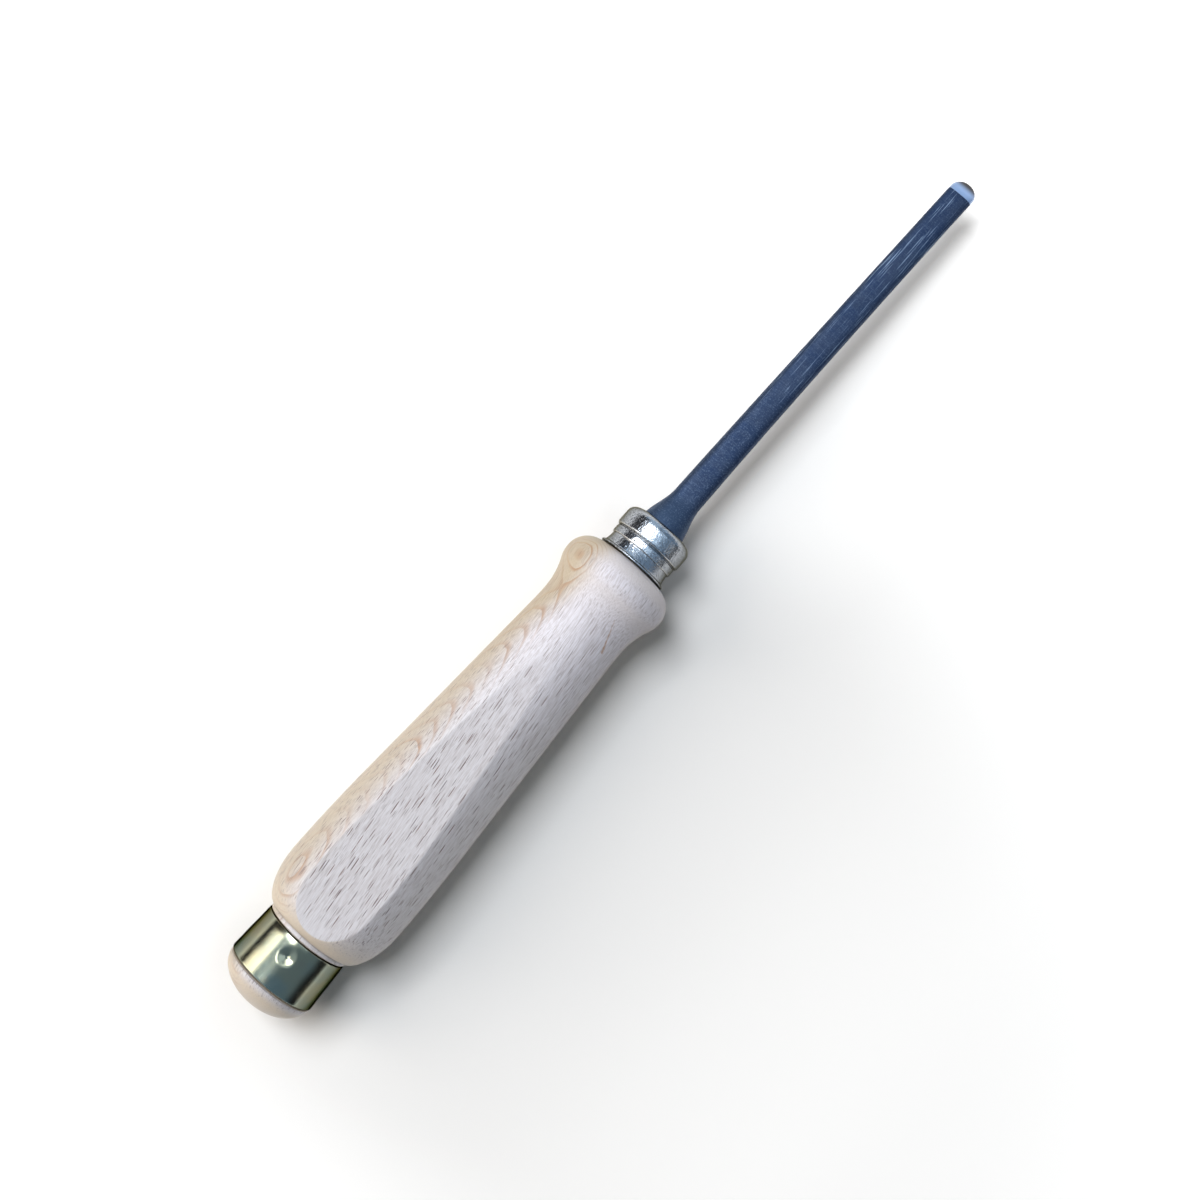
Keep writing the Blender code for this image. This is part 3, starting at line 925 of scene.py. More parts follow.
@dataclass(frozen=True)
class Dimple:
    """Dish punched into the top of the hoop, with a deeper pip in its middle."""

    station: float = 15.5 * MM
    reach: float = 2.75 * MM
    depth: float = 0.46 * MM
    pip_reach: float = 0.75 * MM
    pip_depth: float = 0.20 * MM

    def press(self, station: np.ndarray, radius: np.ndarray, turn: np.ndarray) -> np.ndarray:
        """Inward press: two dishes (1 - q * q) ** 2, with q the distance from the middle over the reach.

        Args:
            station: Stations of the points.
            radius: Radii of the points.
            turn: Turns of the points.

        Returns:
            Depth of the press at each point.
        """
        around = radius * (np.mod(turn + math.pi, FULL_TURN) - math.pi)
        distance = np.hypot(station - self.station, around)
        dish = np.clip(1 - (distance / self.reach) ** 2, 0.0, None) ** 2
        pip = np.clip(1 - (distance / self.pip_reach) ** 2, 0.0, None) ** 2
        return self.depth * dish + self.pip_depth * pip


@dataclass(frozen=True)
class TurnedHandle:
    """Handle turned about the axis, with a flat above and one below that close on the blade."""

    dome_height: float = 7.0 * MM
    dome_radius: float = 11.35 * MM
    tenon_rear: float = 10.2 * MM
    tenon_front: float = 9.6 * MM
    tenon_margin: float = 1.0 * MM
    collar_rear: float = 19.8 * MM
    collar_width: float = 1.3 * MM
    collar_radius: float = 10.9 * MM
    shoulder_radius: float = 11.9 * MM
    round_length: float = 13.0 * MM
    round_depth: float = 6.0 * MM
    belly_radius: float = 15.86 * MM
    belly_sweep: float = 380.0 * MM
    waist_from_shoulder: float = 95.2 * MM
    waist_radius: float = 11.82 * MM
    waist_sweep: float = 70.0 * MM
    cove_sweep: float = 19.0 * MM
    bead_rise: float = 2.43 * MM
    bead_rear_sweep: float = 8.0 * MM
    bead_front_sweep: float = 5.7 * MM
    spigot_radius: float = 6.9 * MM
    spigot_length: float = 10.25 * MM
    spigot_chamfer: float = 0.6 * MM
    flat_reach: float = 13.4 * MM
    flat_taper: float = math.radians(0.68)
    flat_edge: float = 0.22 * MM
    flat_fade: Span = (-0.06 * MM, 0.10 * MM)
    least_flat_turn: float = math.radians(9.0)
    least_cosine: float = 0.05
    edge_round: float = 0.25 * MM
    lip_gap: float = 0.5
    arc_gap: float = 0.03
    tang_length: float = 78.0 * MM
    tang_root: float = 6.6 * MM
    tang_end: float = 3.4 * MM
    # painted light: where the +Y flank and the underside are painted warm, as warm light and its bounce
    painted_warm_start: Span = (0.40, 0.18)
    painted_warm_change: Span = (105.0 * MM, 124.0 * MM)
    painted_warm_width: float = 0.56
    painted_bounce_below: float = 0.9
    underside: Span = (0.45, -0.3)
    crest_turn: float = math.radians(38.0)
    crest_spread: float = math.radians(10.0)
    # front mark, which also carries the painted sheen on the handle's front
    front_span: Span = (72.0 * MM, 118.0 * MM)
    end_slope: Span = (0.06, 0.60)
    seam_width: float = 0.45 * MM
    seam_corner: float = 0.3 * MM
    seam_face: float = 0.25 * MM
    dome_seam: float = 0.55
    ferrule_seam: float = 0.15
    columns: int = 60
    edge_turn: float = math.radians(2.4)
    edge_shares: Span = (0.38, 0.52)

    @property
    def shoulder(self) -> float:
        """Station where the body rises from the collar."""
        return self.collar_rear + self.collar_width

    def round_turn(self, radius: float) -> float:
        """Angle at which the shoulder's elliptic round has a radius."""
        return math.pi - math.asin(1 - (self.belly_radius - radius) / self.round_depth)

    @property
    def belly(self) -> float:
        """Station of the fullest part."""
        return self.shoulder - self.round_length * math.cos(self.round_turn(self.shoulder_radius))

    @property
    def waist(self) -> float:
        """Station of the slimmest part."""
        return self.shoulder + self.waist_from_shoulder

    @property
    def cove_turn(self) -> float:
        """Angle through which the cove and the rear of the bead sweep."""
        return math.acos(1 - self.bead_rise / (self.cove_sweep + self.bead_rear_sweep))

    @property
    def bead(self) -> float:
        """Station of the bead's crest."""
        return self.waist + (self.cove_sweep + self.bead_rear_sweep) * math.sin(self.cove_turn)

    @property
    def bead_radius(self) -> float:
        """Radius of the bead's crest."""
        return self.waist_radius + self.bead_rise

    @property
    def bead_face(self) -> float:
        """Station of the bead's front face."""
        return self.bead + self.bead_front_sweep

    @property
    def spigot_end(self) -> float:
        """Station where the wood ends inside the ferrule."""
        return self.bead_face + self.spigot_length

    @property
    def flat_rear(self) -> float:
        """Station where a flat leaves the rounded shoulder."""
        return self.belly + self.round_length * math.cos(self.round_turn(self.flat_reach))

    @property
    def lean(self) -> float:
        """Angle at which the tool leans back from its bead onto the rear end of the lower flat."""
        return math.atan2(self.bead_radius - self.flat_reach, self.bead - self.flat_rear)

    def axis(self) -> ToolAxis:
        """Axis of the tool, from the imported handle's rear end and the lean."""
        height = self.flat_reach * math.cos(self.lean) - self.flat_rear * math.sin(self.lean)
        return ToolAxis(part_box("handle")[0].x, height, self.lean)

    def taper(self) -> float:
        """Work out the straight line that touches the belly's arc and the waist's arc.

        Returns:
            Its slope.
        """
        sweeps = self.belly_sweep + self.waist_sweep
        along = self.waist - self.belly
        across = sweeps - (self.belly_radius - self.waist_radius)
        return math.atan2(along, across) - math.acos(sweeps / math.hypot(along, across))

    def butt_rows(self) -> np.ndarray:
        """Profile of the dome, the tenon under the hoop and the collar.

        Returns:
            Stations and radii.
        """
        edge, height = self.edge_round, self.dome_height
        start, end = math.pi - self.arc_gap, QUARTER + self.arc_gap
        dome = arc((height, 0.0), (height, self.dome_radius), start, end, count=34)
        lip = round_arc((height - edge, self.dome_radius - edge), edge, QUARTER, 0.0, count=5)
        tenon = run((height, self.tenon_rear), (self.collar_rear, self.tenon_front), count=26)
        corner = (self.collar_rear + edge, self.collar_radius - edge)
        collar_lip = round_arc(corner, edge, math.pi, QUARTER, count=5)
        collar_start = (self.collar_rear + 2 * edge, self.collar_radius)
        collar = run(collar_start, (self.shoulder, self.collar_radius), count=4)
        return np.concatenate([dome, lip, tenon, collar_lip, collar])

    def body_rows(self) -> np.ndarray:
        """Profile of the shoulder, the belly, the straight taper and the waist.

        Returns:
            Stations and radii.
        """
        edge, taper = self.edge_round, self.taper()
        corner = (self.shoulder + edge, self.shoulder_radius - edge)
        lip = round_arc(corner, edge, math.pi, QUARTER + self.lip_gap, count=5)
        centre = (self.belly, self.belly_radius - self.round_depth)
        start = self.round_turn(self.shoulder_radius) - self.arc_gap
        shoulder = arc(centre, (self.round_length, self.round_depth), start, QUARTER, count=52)
        centre = (self.belly, self.belly_radius - self.belly_sweep)
        belly = round_arc(centre, self.belly_sweep, QUARTER, QUARTER - taper, count=40)[1:]
        centre = (self.waist, self.waist_radius + self.waist_sweep)
        waist = round_arc(centre, self.waist_sweep, -QUARTER - taper, -QUARTER, count=10)
        cone = run(tuple(belly[-1]), tuple(waist[0]), count=112)[1:-1]
        return np.concatenate([lip, shoulder, belly, cone, waist])

    def bead_rows(self) -> np.ndarray:
        """Profile of the cove, the bead, its face and the spigot inside the ferrule.

        Returns:
            Stations and radii.
        """
        centre = (self.waist, self.waist_radius + self.cove_sweep)
        cove = round_arc(centre, self.cove_sweep, -QUARTER, -QUARTER + self.cove_turn, count=14)[1:]
        centre = (self.bead, self.bead_radius - self.bead_rear_sweep)
        rear = round_arc(centre, self.bead_rear_sweep, QUARTER + self.cove_turn, QUARTER, count=14)[1:]
        centre = (self.bead, self.bead_radius - self.bead_front_sweep)
        front = round_arc(centre, self.bead_front_sweep, QUARTER, 0.0, count=28)[1:]
        spigot = np.array([
            (self.bead_face, self.spigot_radius),
            (self.spigot_end - self.spigot_chamfer, self.spigot_radius),
            (self.spigot_end, self.spigot_radius - self.spigot_chamfer)])
        return np.concatenate([cove, rear, front, spigot])

    def turns(self, flat_turn: np.ndarray) -> np.ndarray:
        """Turns of the columns: in each quarter they crowd where the flat's edge lies in that row.

        Args:
            flat_turn: Half-angle of the flat in each row.

        Returns:
            Turns of shape (rows, 4 * columns), rising from 0 to a full turn.
        """
        start, end = self.edge_shares
        share = np.arange(self.columns) / self.columns
        low, high = flat_turn[:, None] - self.edge_turn, flat_turn[:, None] + self.edge_turn

        def quarter(value: np.ndarray) -> np.ndarray:
            """Turn within a quarter, in three straight runs.

            Args:
                value: Shares of the quarter's columns.

            Returns:
                Turns from 0 to a quarter.
            """
            first = low * np.clip(value / start, 0.0, 1.0)
            second = (high - low) * np.clip((value - start) / (end - start), 0.0, 1.0)
            third = (QUARTER - high) * np.clip((value - end) / (1 - end), 0.0, 1.0)
            return first + second + third

        rising, falling = quarter(share), quarter(1 - share)
        return np.concatenate([rising, math.pi - falling, math.pi + rising, FULL_TURN - falling], axis=1)

    def tang_hole(self, turn: np.ndarray) -> tuple[np.ndarray, np.ndarray]:
        """Rows of the square hole for the tang: half its width over the larger of sine and cosine.

        Args:
            turn: Turns of the columns.

        Returns:
            Stations and radii of the hole's two ends.
        """
        half = np.array([self.tang_root, self.tang_end])[:, None] / 2
        square = half / np.maximum(np.abs(np.cos(turn)), np.abs(np.sin(turn)))
        return np.array([[self.spigot_end], [self.spigot_end - self.tang_length]]), square

    def seam(self, station: np.ndarray, radius: np.ndarray) -> np.ndarray:
        """Dark glue and dirt, with painted shade in the corners: bells at the hoop and in the collar's
        corner, a step at the ferrule.

        Args:
            station: Stations of the rows.
            radius: Radii of the rows.

        Returns:
            Mark of the lines in each row.
        """
        at_dome = self.dome_seam * bell(station - self.dome_height, self.seam_width)
        in_corner = radius < self.shoulder_radius - self.seam_corner
        at_collar = bell(station - self.shoulder, self.seam_width) * in_corner
        at_ferrule = self.ferrule_seam * ease(self.bead_face - self.seam_face, self.bead_face, station)
        return np.maximum(np.maximum(at_dome, at_collar), at_ferrule)

    def marks(self, station: np.ndarray, radius: np.ndarray, plane: np.ndarray,
              turn: np.ndarray) -> dict[str, np.ndarray]:
        """Marks that the finish reads: steps and bells of the station, the slope and the turn.

        Args:
            station: Stations of the rows.
            radius: Radii of the rows.
            plane: Distance of the flats' planes from the axis at each point.
            turn: Turn of each point.

        Returns:
            Marks by name, each with the shape of the turns.
        """
        run_up, rise = np.gradient(station[:, 0]), np.gradient(radius[:, 0])
        slope = np.abs(rise / np.hypot(rise, run_up))[:, None]
        # painted light: mark of the +Y flank and the underside that are painted warm
        start = blend(*self.painted_warm_start, ease(*self.painted_warm_change, station))
        below = self.painted_bounce_below * ease(*self.underside, np.cos(turn))
        rows = {
            "flat": ease(*self.flat_fade, radius - plane),
            "seam": self.seam(station, radius),
            "painted_warm_light": np.maximum(ease(start, start + self.painted_warm_width, np.sin(turn)), below),
            "crest": bell(turn - self.crest_turn, self.crest_spread),
            "end": ease(*self.end_slope, slope),
            "front": ease(*self.front_span, station)}
        return {name: np.broadcast_to(mark, turn.shape) for name, mark in rows.items()}

    def build(self, axis: ToolAxis, dimple: Dimple) -> bpy.types.Object:
        """Turn the profile about the axis, with each flat as the plane reach / |cos(turn)|.

        Args:
            axis: Axis of the tool.
            dimple: Dish of the hoop, which the tenon makes room for.

        Returns:
            The handle's piece, with its marks.
        """
        butt, body = self.butt_rows(), self.body_rows()
        profile = np.concatenate([butt, body, self.bead_rows()])
        station, radius = profile[:, :1], profile[:, 1:]
        row = np.arange(len(profile))[:, None]
        on_body = (row >= len(butt)) & (row < len(butt) + len(body))
        reach = self.flat_reach - (station - self.flat_rear) * math.tan(self.flat_taper)
        cut = np.where(on_body, reach, 1.0)
        flat_turn = np.arccos(np.clip(cut / radius, 0.0, 1.0))[:, 0]
        turn = self.turns(np.clip(flat_turn, self.least_flat_turn, None))
        plane = cut / np.maximum(np.abs(np.cos(turn)), self.least_cosine)
        surface = soft_min(np.broadcast_to(radius, turn.shape), plane, self.flat_edge)
        in_hoop = (station > self.dome_height - self.tenon_margin) & (station < self.collar_rear)
        under_hoop = in_hoop & (radius < self.collar_radius - self.tenon_margin / 2)
        surface = surface - np.where(under_hoop, dimple.press(station, surface, turn), 0.0)
        marks = self.marks(station, radius, plane, turn)
        hole_station, hole_radius = self.tang_hole(turn[-1])
        station = np.concatenate([station, hole_station])
        surface = np.concatenate([surface, hole_radius])
        turn = np.concatenate([turn, turn[-1:], turn[-1:]])
        pad = np.zeros_like(hole_radius)
        marks = {name: np.concatenate([mark, pad]) for name, mark in marks.items()}
        return skin("beech_handle", axis.turned(station, surface, turn), Ends.POLES, marks)

    def dress(self, piece: bpy.types.Object, shared: SharedEffects) -> None:
        """Let the piece stand for the handle, in waxed beech."""
        stand_for(piece, "handle", BeechFinish().make(shared))


@dataclass(frozen=True)
class ButtHoop:
    """Conical hoop on the butt, drawn in a little at its front edge."""

    rear: float = 7.3 * MM
    length: float = 12.2 * MM
    rear_radius: float = 11.6 * MM
    front_radius: float = 11.0 * MM
    wall: float = 1.1 * MM
    edge: float = 0.28 * MM
    crimp_length: float = 1.7 * MM
    crimp: float = 0.08 * MM
    wave_height: float = 0.012 * MM
    wave_length: float = 9.0 * MM
    wave_skew: float = 0.6
    worn_reach: Span = (0.9 * MM, 0.1 * MM)
    columns: int = 320

    def outer(self, along: np.ndarray) -> np.ndarray:
        """Outer radius: a straight cone less a crimp that grows as the square of the way to the front."""
        share = np.clip((along - self.length + self.crimp_length) / self.crimp_length, 0.0, 1.0)
        return blend(self.rear_radius, self.front_radius, along / self.length) - self.crimp * share * share

    def profile(self) -> np.ndarray:
        """Closed profile: the outside with rounded edges, then back along the bore.

        Returns:
            Distances from the rear end, and radii.
        """
        edge, front = self.edge, self.length - self.edge
        rear_corner = round_arc((edge, float(self.outer(edge)) - edge), edge, math.pi, QUARTER, count=7)
        along = np.linspace(edge, front, num=62)[1:-1]
        outside = np.stack([along, self.outer(along)], axis=1)
        front_corner = round_arc((front, float(self.outer(front)) - edge), edge, QUARTER, 0.0, count=7)
        back = np.linspace(self.length, 0.0, num=40)
        bore = blend(self.rear_radius, self.front_radius, back / self.length) - self.wall
        return np.concatenate([rear_corner, outside, front_corner, np.stack([back, bore], axis=1)])

    def build(self, axis: ToolAxis, dimple: Dimple) -> bpy.types.Object:
        """Turn the profile about the axis and press the dimple through the wall.

        Args:
            axis: Axis of the tool.
            dimple: Dish in the hoop's top.

        Returns:
            The hoop's piece, with a mark for its edges.
        """
        profile = self.profile()
        along, radius = profile[:, :1], profile[:, 1:]
        station = along + self.rear
        turn = np.linspace(0.0, FULL_TURN, self.columns, endpoint=False)[None, :]
        pressed = radius - dimple.press(station, np.full_like(radius, radius.max()), turn)
        around = np.cos(turn) + self.wave_skew * np.sin(turn)
        uneven = self.wave_height * ripple(station / self.wave_length, around, seed=4)
        edge = ease(*self.worn_reach, np.minimum(along, self.length - along)) * np.ones_like(turn)
        return skin("plated_hoop", axis.turned(station, pressed + uneven, turn), Ends.LOOP, {"edge": edge})

    def dress(self, piece: bpy.types.Object, shared: SharedEffects) -> None:
        """Let the piece stand for the hoop, in yellow zinc."""
        stand_for(piece, "rear_hoop", ZincFinish().make(shared))


@dataclass(frozen=True)
class StepFerrule:
    """Ferrule in front of the bead: rolled rim, waisted neck, step, groove and rounded cap."""

    rear: float = 133.494 * MM
    bore: float = 7.2 * MM
    neck_wall: float = 0.9 * MM
    neck_width: float = 2.65 * MM
    neck_flare: float = 0.55 * MM
    neck_start: float = 0.08
    neck_power: float = 0.7
    rim_width: float = 0.7 * MM
    rim_rise: float = 1.1 * MM
    rim_turn: Span = (2.2, 0.25)
    step_width: float = 2.05 * MM
    step_rise: float = 0.45 * MM
    step_round: float = 0.3 * MM
    step_turn: float = 0.4
    groove_width: float = 0.3 * MM
    groove_depth: float = 0.2 * MM
    groove_floor: float = 0.08 * MM
    cap_width: float = 5.75 * MM
    cap_rise: float = 0.9 * MM
    cap_edge: float = 0.55 * MM
    cap_round: float = 2.2 * MM
    cap_lip: float = 1.2 * MM
    mouth: float = 6.4 * MM
    wave_height: float = 0.010 * MM
    wave_length: float = 5.0 * MM
    waves_around: Span = (1.5, 1.1)
    step_wear: float = 0.1 * MM
    cap_wear: float = 0.15 * MM
    wear_width: float = 0.14 * MM
    seam_width: float = 0.12 * MM
    columns: int = 288

    @property
    def step_start(self) -> float:
        """Distance from the rear end to the step."""
        return self.rim_width + self.neck_width

    @property
    def groove_start(self) -> float:
        """Distance from the rear end to the groove."""
        return self.step_start + self.step_width

    @property
    def cap_start(self) -> float:
        """Distance from the rear end to the cap."""
        return self.groove_start + self.groove_width

    @property
    def length(self) -> float:
        """Length over all."""
        return self.cap_start + self.cap_width

    def profile(self) -> np.ndarray:
        """Closed profile: rim, neck, step, groove and cap, then the mouth and back along the bore.

        Returns:
            Distances from the rear end, and radii.
        """
        neck = self.bore + self.neck_wall
        flared = neck + self.neck_flare
        step, cap = neck + self.step_rise, neck + self.cap_rise
        half = self.rim_width / 2
        rim = arc((half, flared), (half, self.rim_rise - self.neck_flare), *self.rim_turn, count=20)
        fall = np.linspace(self.neck_start, 1.0, num=16)
        along = blend(self.rim_width, self.step_start, fall)
        neck_curve = np.stack([along, blend(flared, neck, fall ** self.neck_power)], axis=1)
        bend, level = self.step_round, step - self.step_round
        step_rear = round_arc((self.step_start + bend, level), bend, math.pi, QUARTER, count=7)
        step_front = round_arc((self.groove_start - bend, level), bend, QUARTER, self.step_turn, count=6)
        middle, floor = (self.groove_start + self.cap_start) / 2, step - self.groove_depth
        aside = self.groove_floor / 2
        groove = run((middle - aside, floor), (middle + aside, floor), count=2)
        bend, level = self.cap_edge, cap - self.cap_edge
        cap_rear = round_arc((self.cap_start + bend, level), bend, math.pi, QUARTER, count=8)
        front = self.length - self.cap_round
        crown = run((self.cap_start + bend, cap), (front, cap), count=12)[1:-1]
        cap_front = round_arc((front, cap - self.cap_round), self.cap_round, QUARTER, 0.0, count=24)
        lip = self.length - self.cap_lip
        mouth = [(self.length, self.mouth), (lip, self.mouth)]
        inside = np.array([*mouth, (lip, self.bore), (0.0, self.bore)])
        outside = [rim, neck_curve, step_rear, step_front, groove, cap_rear, crown, cap_front]
        return np.concatenate([*outside, inside])

    def build(self, axis: ToolAxis) -> bpy.types.Object:
        """Turn the profile about the axis, slightly uneven as drawn sheet is.

        Args:
            axis: Axis of the tool.

        Returns:
            The ferrule's piece, with marks for its edges and for the dark groove.
        """
        profile = self.profile()
        along, radius = profile[:, :1], profile[:, 1:]
        station = along + self.rear
        turn = np.linspace(0.0, FULL_TURN, self.columns, endpoint=False)[None, :]
        around = self.waves_around[0] * np.cos(turn) + self.waves_around[1] * np.sin(turn)
        uneven = self.wave_height * ripple(station / self.wave_length, around, seed=7)
        step_edge = bell(along - self.step_start - self.step_wear, self.wear_width)
        cap_edge = bell(along - self.cap_start - self.cap_wear, self.wear_width)
        seam = bell(along - (self.groove_start + self.cap_start) / 2, self.seam_width)
        rows = {"edge": np.maximum(step_edge, cap_edge), "seam": seam}
        marks = {name: mark * np.ones_like(turn) for name, mark in rows.items()}
        return skin("stepped_ferrule", axis.turned(station, radius + uneven, turn), Ends.LOOP, marks)

    def dress(self, piece: bpy.types.Object, shared: SharedEffects) -> None:
        """Let the piece stand for the ferrule, in bright nickel."""
        stand_for(piece, "front_ferrule", NickelFinish().make(shared))


@dataclass(frozen=True)
class ForgedBlade:
    """Blade from its square tang through the flared root and the crowned shank to the ground nose."""

    seat: float = 143.744 * MM
    length: float = 112.7 * MM
    tang_length: float = 78.0 * MM
    tang_root: float = 6.0 * MM
    tang_end: float = 2.8 * MM
    root_width: float = 11.5 * MM
    root_height: float = 10.4 * MM
    flare_length: float = 10.3 * MM
    shank_width: float = 7.56 * MM
    shank_rise: float = 2.9 * MM
    shank_drop: float = 2.9 * MM
    shank_drift: float = 1.4 * MM
    drift_power: float = 1.5
    nose_width: float = 6.6 * MM
    nose_rise: float = 1.35 * MM
    nose_drop: float = 1.05 * MM
    nose_turn: float = math.radians(84.0)
    heel_setback: float = 0.9 * MM
    heel_gap: float = 0.02 * MM
    bevel_roll: float = 0.4
    tang_square: float = 12.0
    root_square: float = 2.2
    crown_square: float = 3.0
    back_square: float = 5.0
    hammer_depth: float = 0.035 * MM
    hammer_waves: Span = (17.0 * MM, 9.0 * MM)
    hammer_start: float = 14.0 * MM
    hammer_end: float = 8.0 * MM
    corner_across: Span = (0.62, 0.86)
    corner_up: Span = (0.15, 0.45)
    rubbed_length: Span = (28.0 * MM, 52.0 * MM)
    rubbed_side: Span = (0.1, 0.8)
    rubbed_share: Span = (0.5, 1.0)
    rim_length: Span = (0.35, 0.85)
    scale_length: Span = (13.0 * MM, 3.0 * MM)
    columns: int = 120

    @property
    def heel(self) -> float:
        """Distance from the seat to the heel of the bevel."""
        return self.length - self.nose_width / 2 - self.heel_setback

    def stations(self) -> tuple[np.ndarray, np.ndarray]:
        """Distances of the rows from the seat: even on the flare and shank, by the sine on the nose.

        Returns:
            Rows of the shank and of the nose.
        """
        flare = np.linspace(0.0, self.flare_length, num=44)
        shank = np.linspace(self.flare_length, self.heel - self.heel_gap, num=150)[1:]
        radius = self.nose_width / 2
        straight = np.linspace(self.heel + self.heel_gap, self.length - radius, num=8)[:-1]
        curve = self.length - radius + radius * np.sin(np.linspace(0.0, self.nose_turn, num=44))
        return np.concatenate([flare, shank]), np.concatenate([straight, curve])

    def shank_share(self, along: np.ndarray) -> np.ndarray:
        """Share of the way from the flare's end to the heel."""
        return (along - self.flare_length) / (self.heel - self.flare_length)

    def shank_sizes(self, along: np.ndarray) -> dict[str, np.ndarray]:
        """Sizes of the root and the shank: the root's blend into the shank's by a cubic step.

        Args:
            along: Distances from the seat.

        Returns:
            Half-width, rise, drop, squareness above and below, and middle.
        """
        flare = ease(0.0, self.flare_length, along)
        share = np.clip(self.shank_share(along), 0.0, 1.0)
        wide = blend(self.nose_width, self.shank_width, (1 - share) ** 2)
        return {
            "half": blend(self.root_width, wide, flare) / 2,
            "rise": blend(self.root_height / 2, blend(self.shank_rise, self.nose_rise, share), flare),
            "drop": blend(self.root_height / 2, blend(self.shank_drop, self.nose_drop, share), flare),
            "crown": blend(self.root_square, self.crown_square, flare),
            "back": blend(self.root_square, self.back_square, flare),
            "middle": np.zeros_like(along)}

    def nose_sizes(self, along: np.ndarray) -> dict[str, np.ndarray]:
        """Sizes of the nose: a half-round outline, whose bevel falls from the heel to the flat back.

        Args:
            along: Distances from the seat.

        Returns:
            Sizes by the same names as the shank's.
        """
        radius = self.nose_width / 2
        share = (along - self.heel) / (self.length - self.heel)
        fall = blend(share, share * share, self.bevel_roll)
        middle = -self.nose_drop * share
        past = np.clip((along - self.length + radius) / radius, 0.0, 1.0)
        return {
            "half": radius * np.sqrt(1 - past * past),
            "rise": blend(self.nose_rise, -self.nose_drop, fall) - middle,
            "drop": self.nose_drop + middle,
            "crown": np.full_like(along, self.crown_square),
            "back": np.full_like(along, self.back_square),
            "middle": middle}

    def tang_sizes(self) -> dict[str, np.ndarray]:
        """Sizes at the two ends of the square tang.

        Returns:
            Sizes by the same names as the shank's.
        """
        half = np.array([self.tang_end, self.tang_root]) / 2
        square = np.full(2, self.tang_square)
        return {"half": half, "rise": half, "drop": half, "crown": square, "back": square,
                "middle": np.zeros(2)}

    def drift(self, along: np.ndarray) -> np.ndarray:
        """Sideways drift of the shank, a power of the share of the way from the flare to the heel."""
        return self.shank_drift * np.clip(self.shank_share(along), 0.0, None) ** self.drift_power

    def marks(self, along: np.ndarray, cosine: np.ndarray, sine: np.ndarray) -> dict[str, np.ndarray]:
        """Marks that the finish reads: steps of the distance from the seat and of the angle.

        Args:
            along: Distances of the rows from the seat.
            cosine: Cosines of the columns' angles.
            sine: Sines of the columns' angles.

        Returns:
            Marks by name, for the corners, the ground nose, its rim, the rubbed length and the root.
        """
        whole = np.ones_like(cosine)
        ground = (along > self.heel) * whole
        corner = ease(*self.corner_across, np.abs(cosine)) * ease(*self.corner_up, np.abs(sine))
        side = blend(*self.rubbed_share, ease(*self.rubbed_side, cosine))
        past_heel = (along - self.heel) / (self.length - self.heel)
        return {
            "edge": corner * (1 - ground),
            "ground": ground,
            "rubbed": ease(*self.rubbed_length, along) * side,
            # rim: where the nose is painted dark as a reflection
            "rim": ease(*self.rim_length, past_heel) * whole,
            "root": ease(*self.scale_length, along) * whole}

    def build(self, axis: ToolAxis) -> bpy.types.Object:
        """Loft superellipses: across = half * |cos| ** (2 / n), up = rise * |sin| ** (2 / n), with signs.

        Args:
            axis: Axis of the tool.

        Returns:
            The blade's piece, with its marks.
        """
        shank, nose = self.stations()
        along = np.concatenate([[-self.tang_length, 0.0], shank, nose])[:, None]
        parts = [self.tang_sizes(), self.shank_sizes(shank), self.nose_sizes(nose)]
        size = {key: np.concatenate([part[key] for part in parts])[:, None] for key in parts[0]}
        angle = np.linspace(0.0, FULL_TURN, self.columns, endpoint=False)[None, :]
        cosine, sine = np.cos(angle), np.sin(angle)
        power = np.where(sine >= 0, 2 / size["crown"], 2 / size["back"])
        tall = np.where(sine >= 0, size["rise"], size["drop"])
        across = size["half"] * np.sign(cosine) * np.abs(cosine) ** power - self.drift(along)
        up = size["middle"] + tall * np.sign(sine) * np.abs(sine) ** power
        near_heel = ease(self.heel, self.heel - self.hammer_end, along)
        hammered = self.hammer_depth * ease(0.0, self.hammer_start, along) * near_heel
        blows = ripple(along / self.hammer_waves[0], across / self.hammer_waves[1], seed=11)
        up = up - hammered * (1 + blows) * np.abs(sine)
        points = axis.place(along + self.seat, across, up)
        return skin("blued_blade", points, Ends.POLES, self.marks(along, cosine, sine))

    def dress(self, piece: bpy.types.Object, shared: SharedEffects) -> None:
        """Let the piece stand for the blade, in blued steel."""
        stand_for(piece, "blade", BluedFinish().make(shared))


# Studio


@dataclass(frozen=True)
class SoftBox:
    """Rectangular lamp that faces a place."""

    name: str
    place: Triple
    aim: Triple
    size: Span
    power: float
    colour: Colour

    def build(self) -> None:
        """Add the lamp to the scene, out of the camera's sight."""
        lamp = bpy.data.lights.new(self.name, "AREA")
        lamp.shape = "RECTANGLE"
        lamp.size, lamp.size_y = self.size
        lamp.energy = self.power
        lamp.color = self.colour
        stand = bpy.data.objects.new(self.name, lamp)
        stand.location = self.place
        stand.rotation_euler = (Vector(self.aim) - Vector(self.place)).to_track_quat("-Z", "Y").to_euler()
        stand.visible_camera = False
        bpy.context.scene.collection.objects.link(stand)


def looked_at(graph: Graph) -> Socket:
    """1 where the camera sees a surface, directly or in a mirror or glass, and 0 for other light."""
    path = graph.node("LightPath").outputs
    return graph.highest(path["Is Camera Ray"], path["Is Glossy Ray"], path["Is Transmission Ray"])


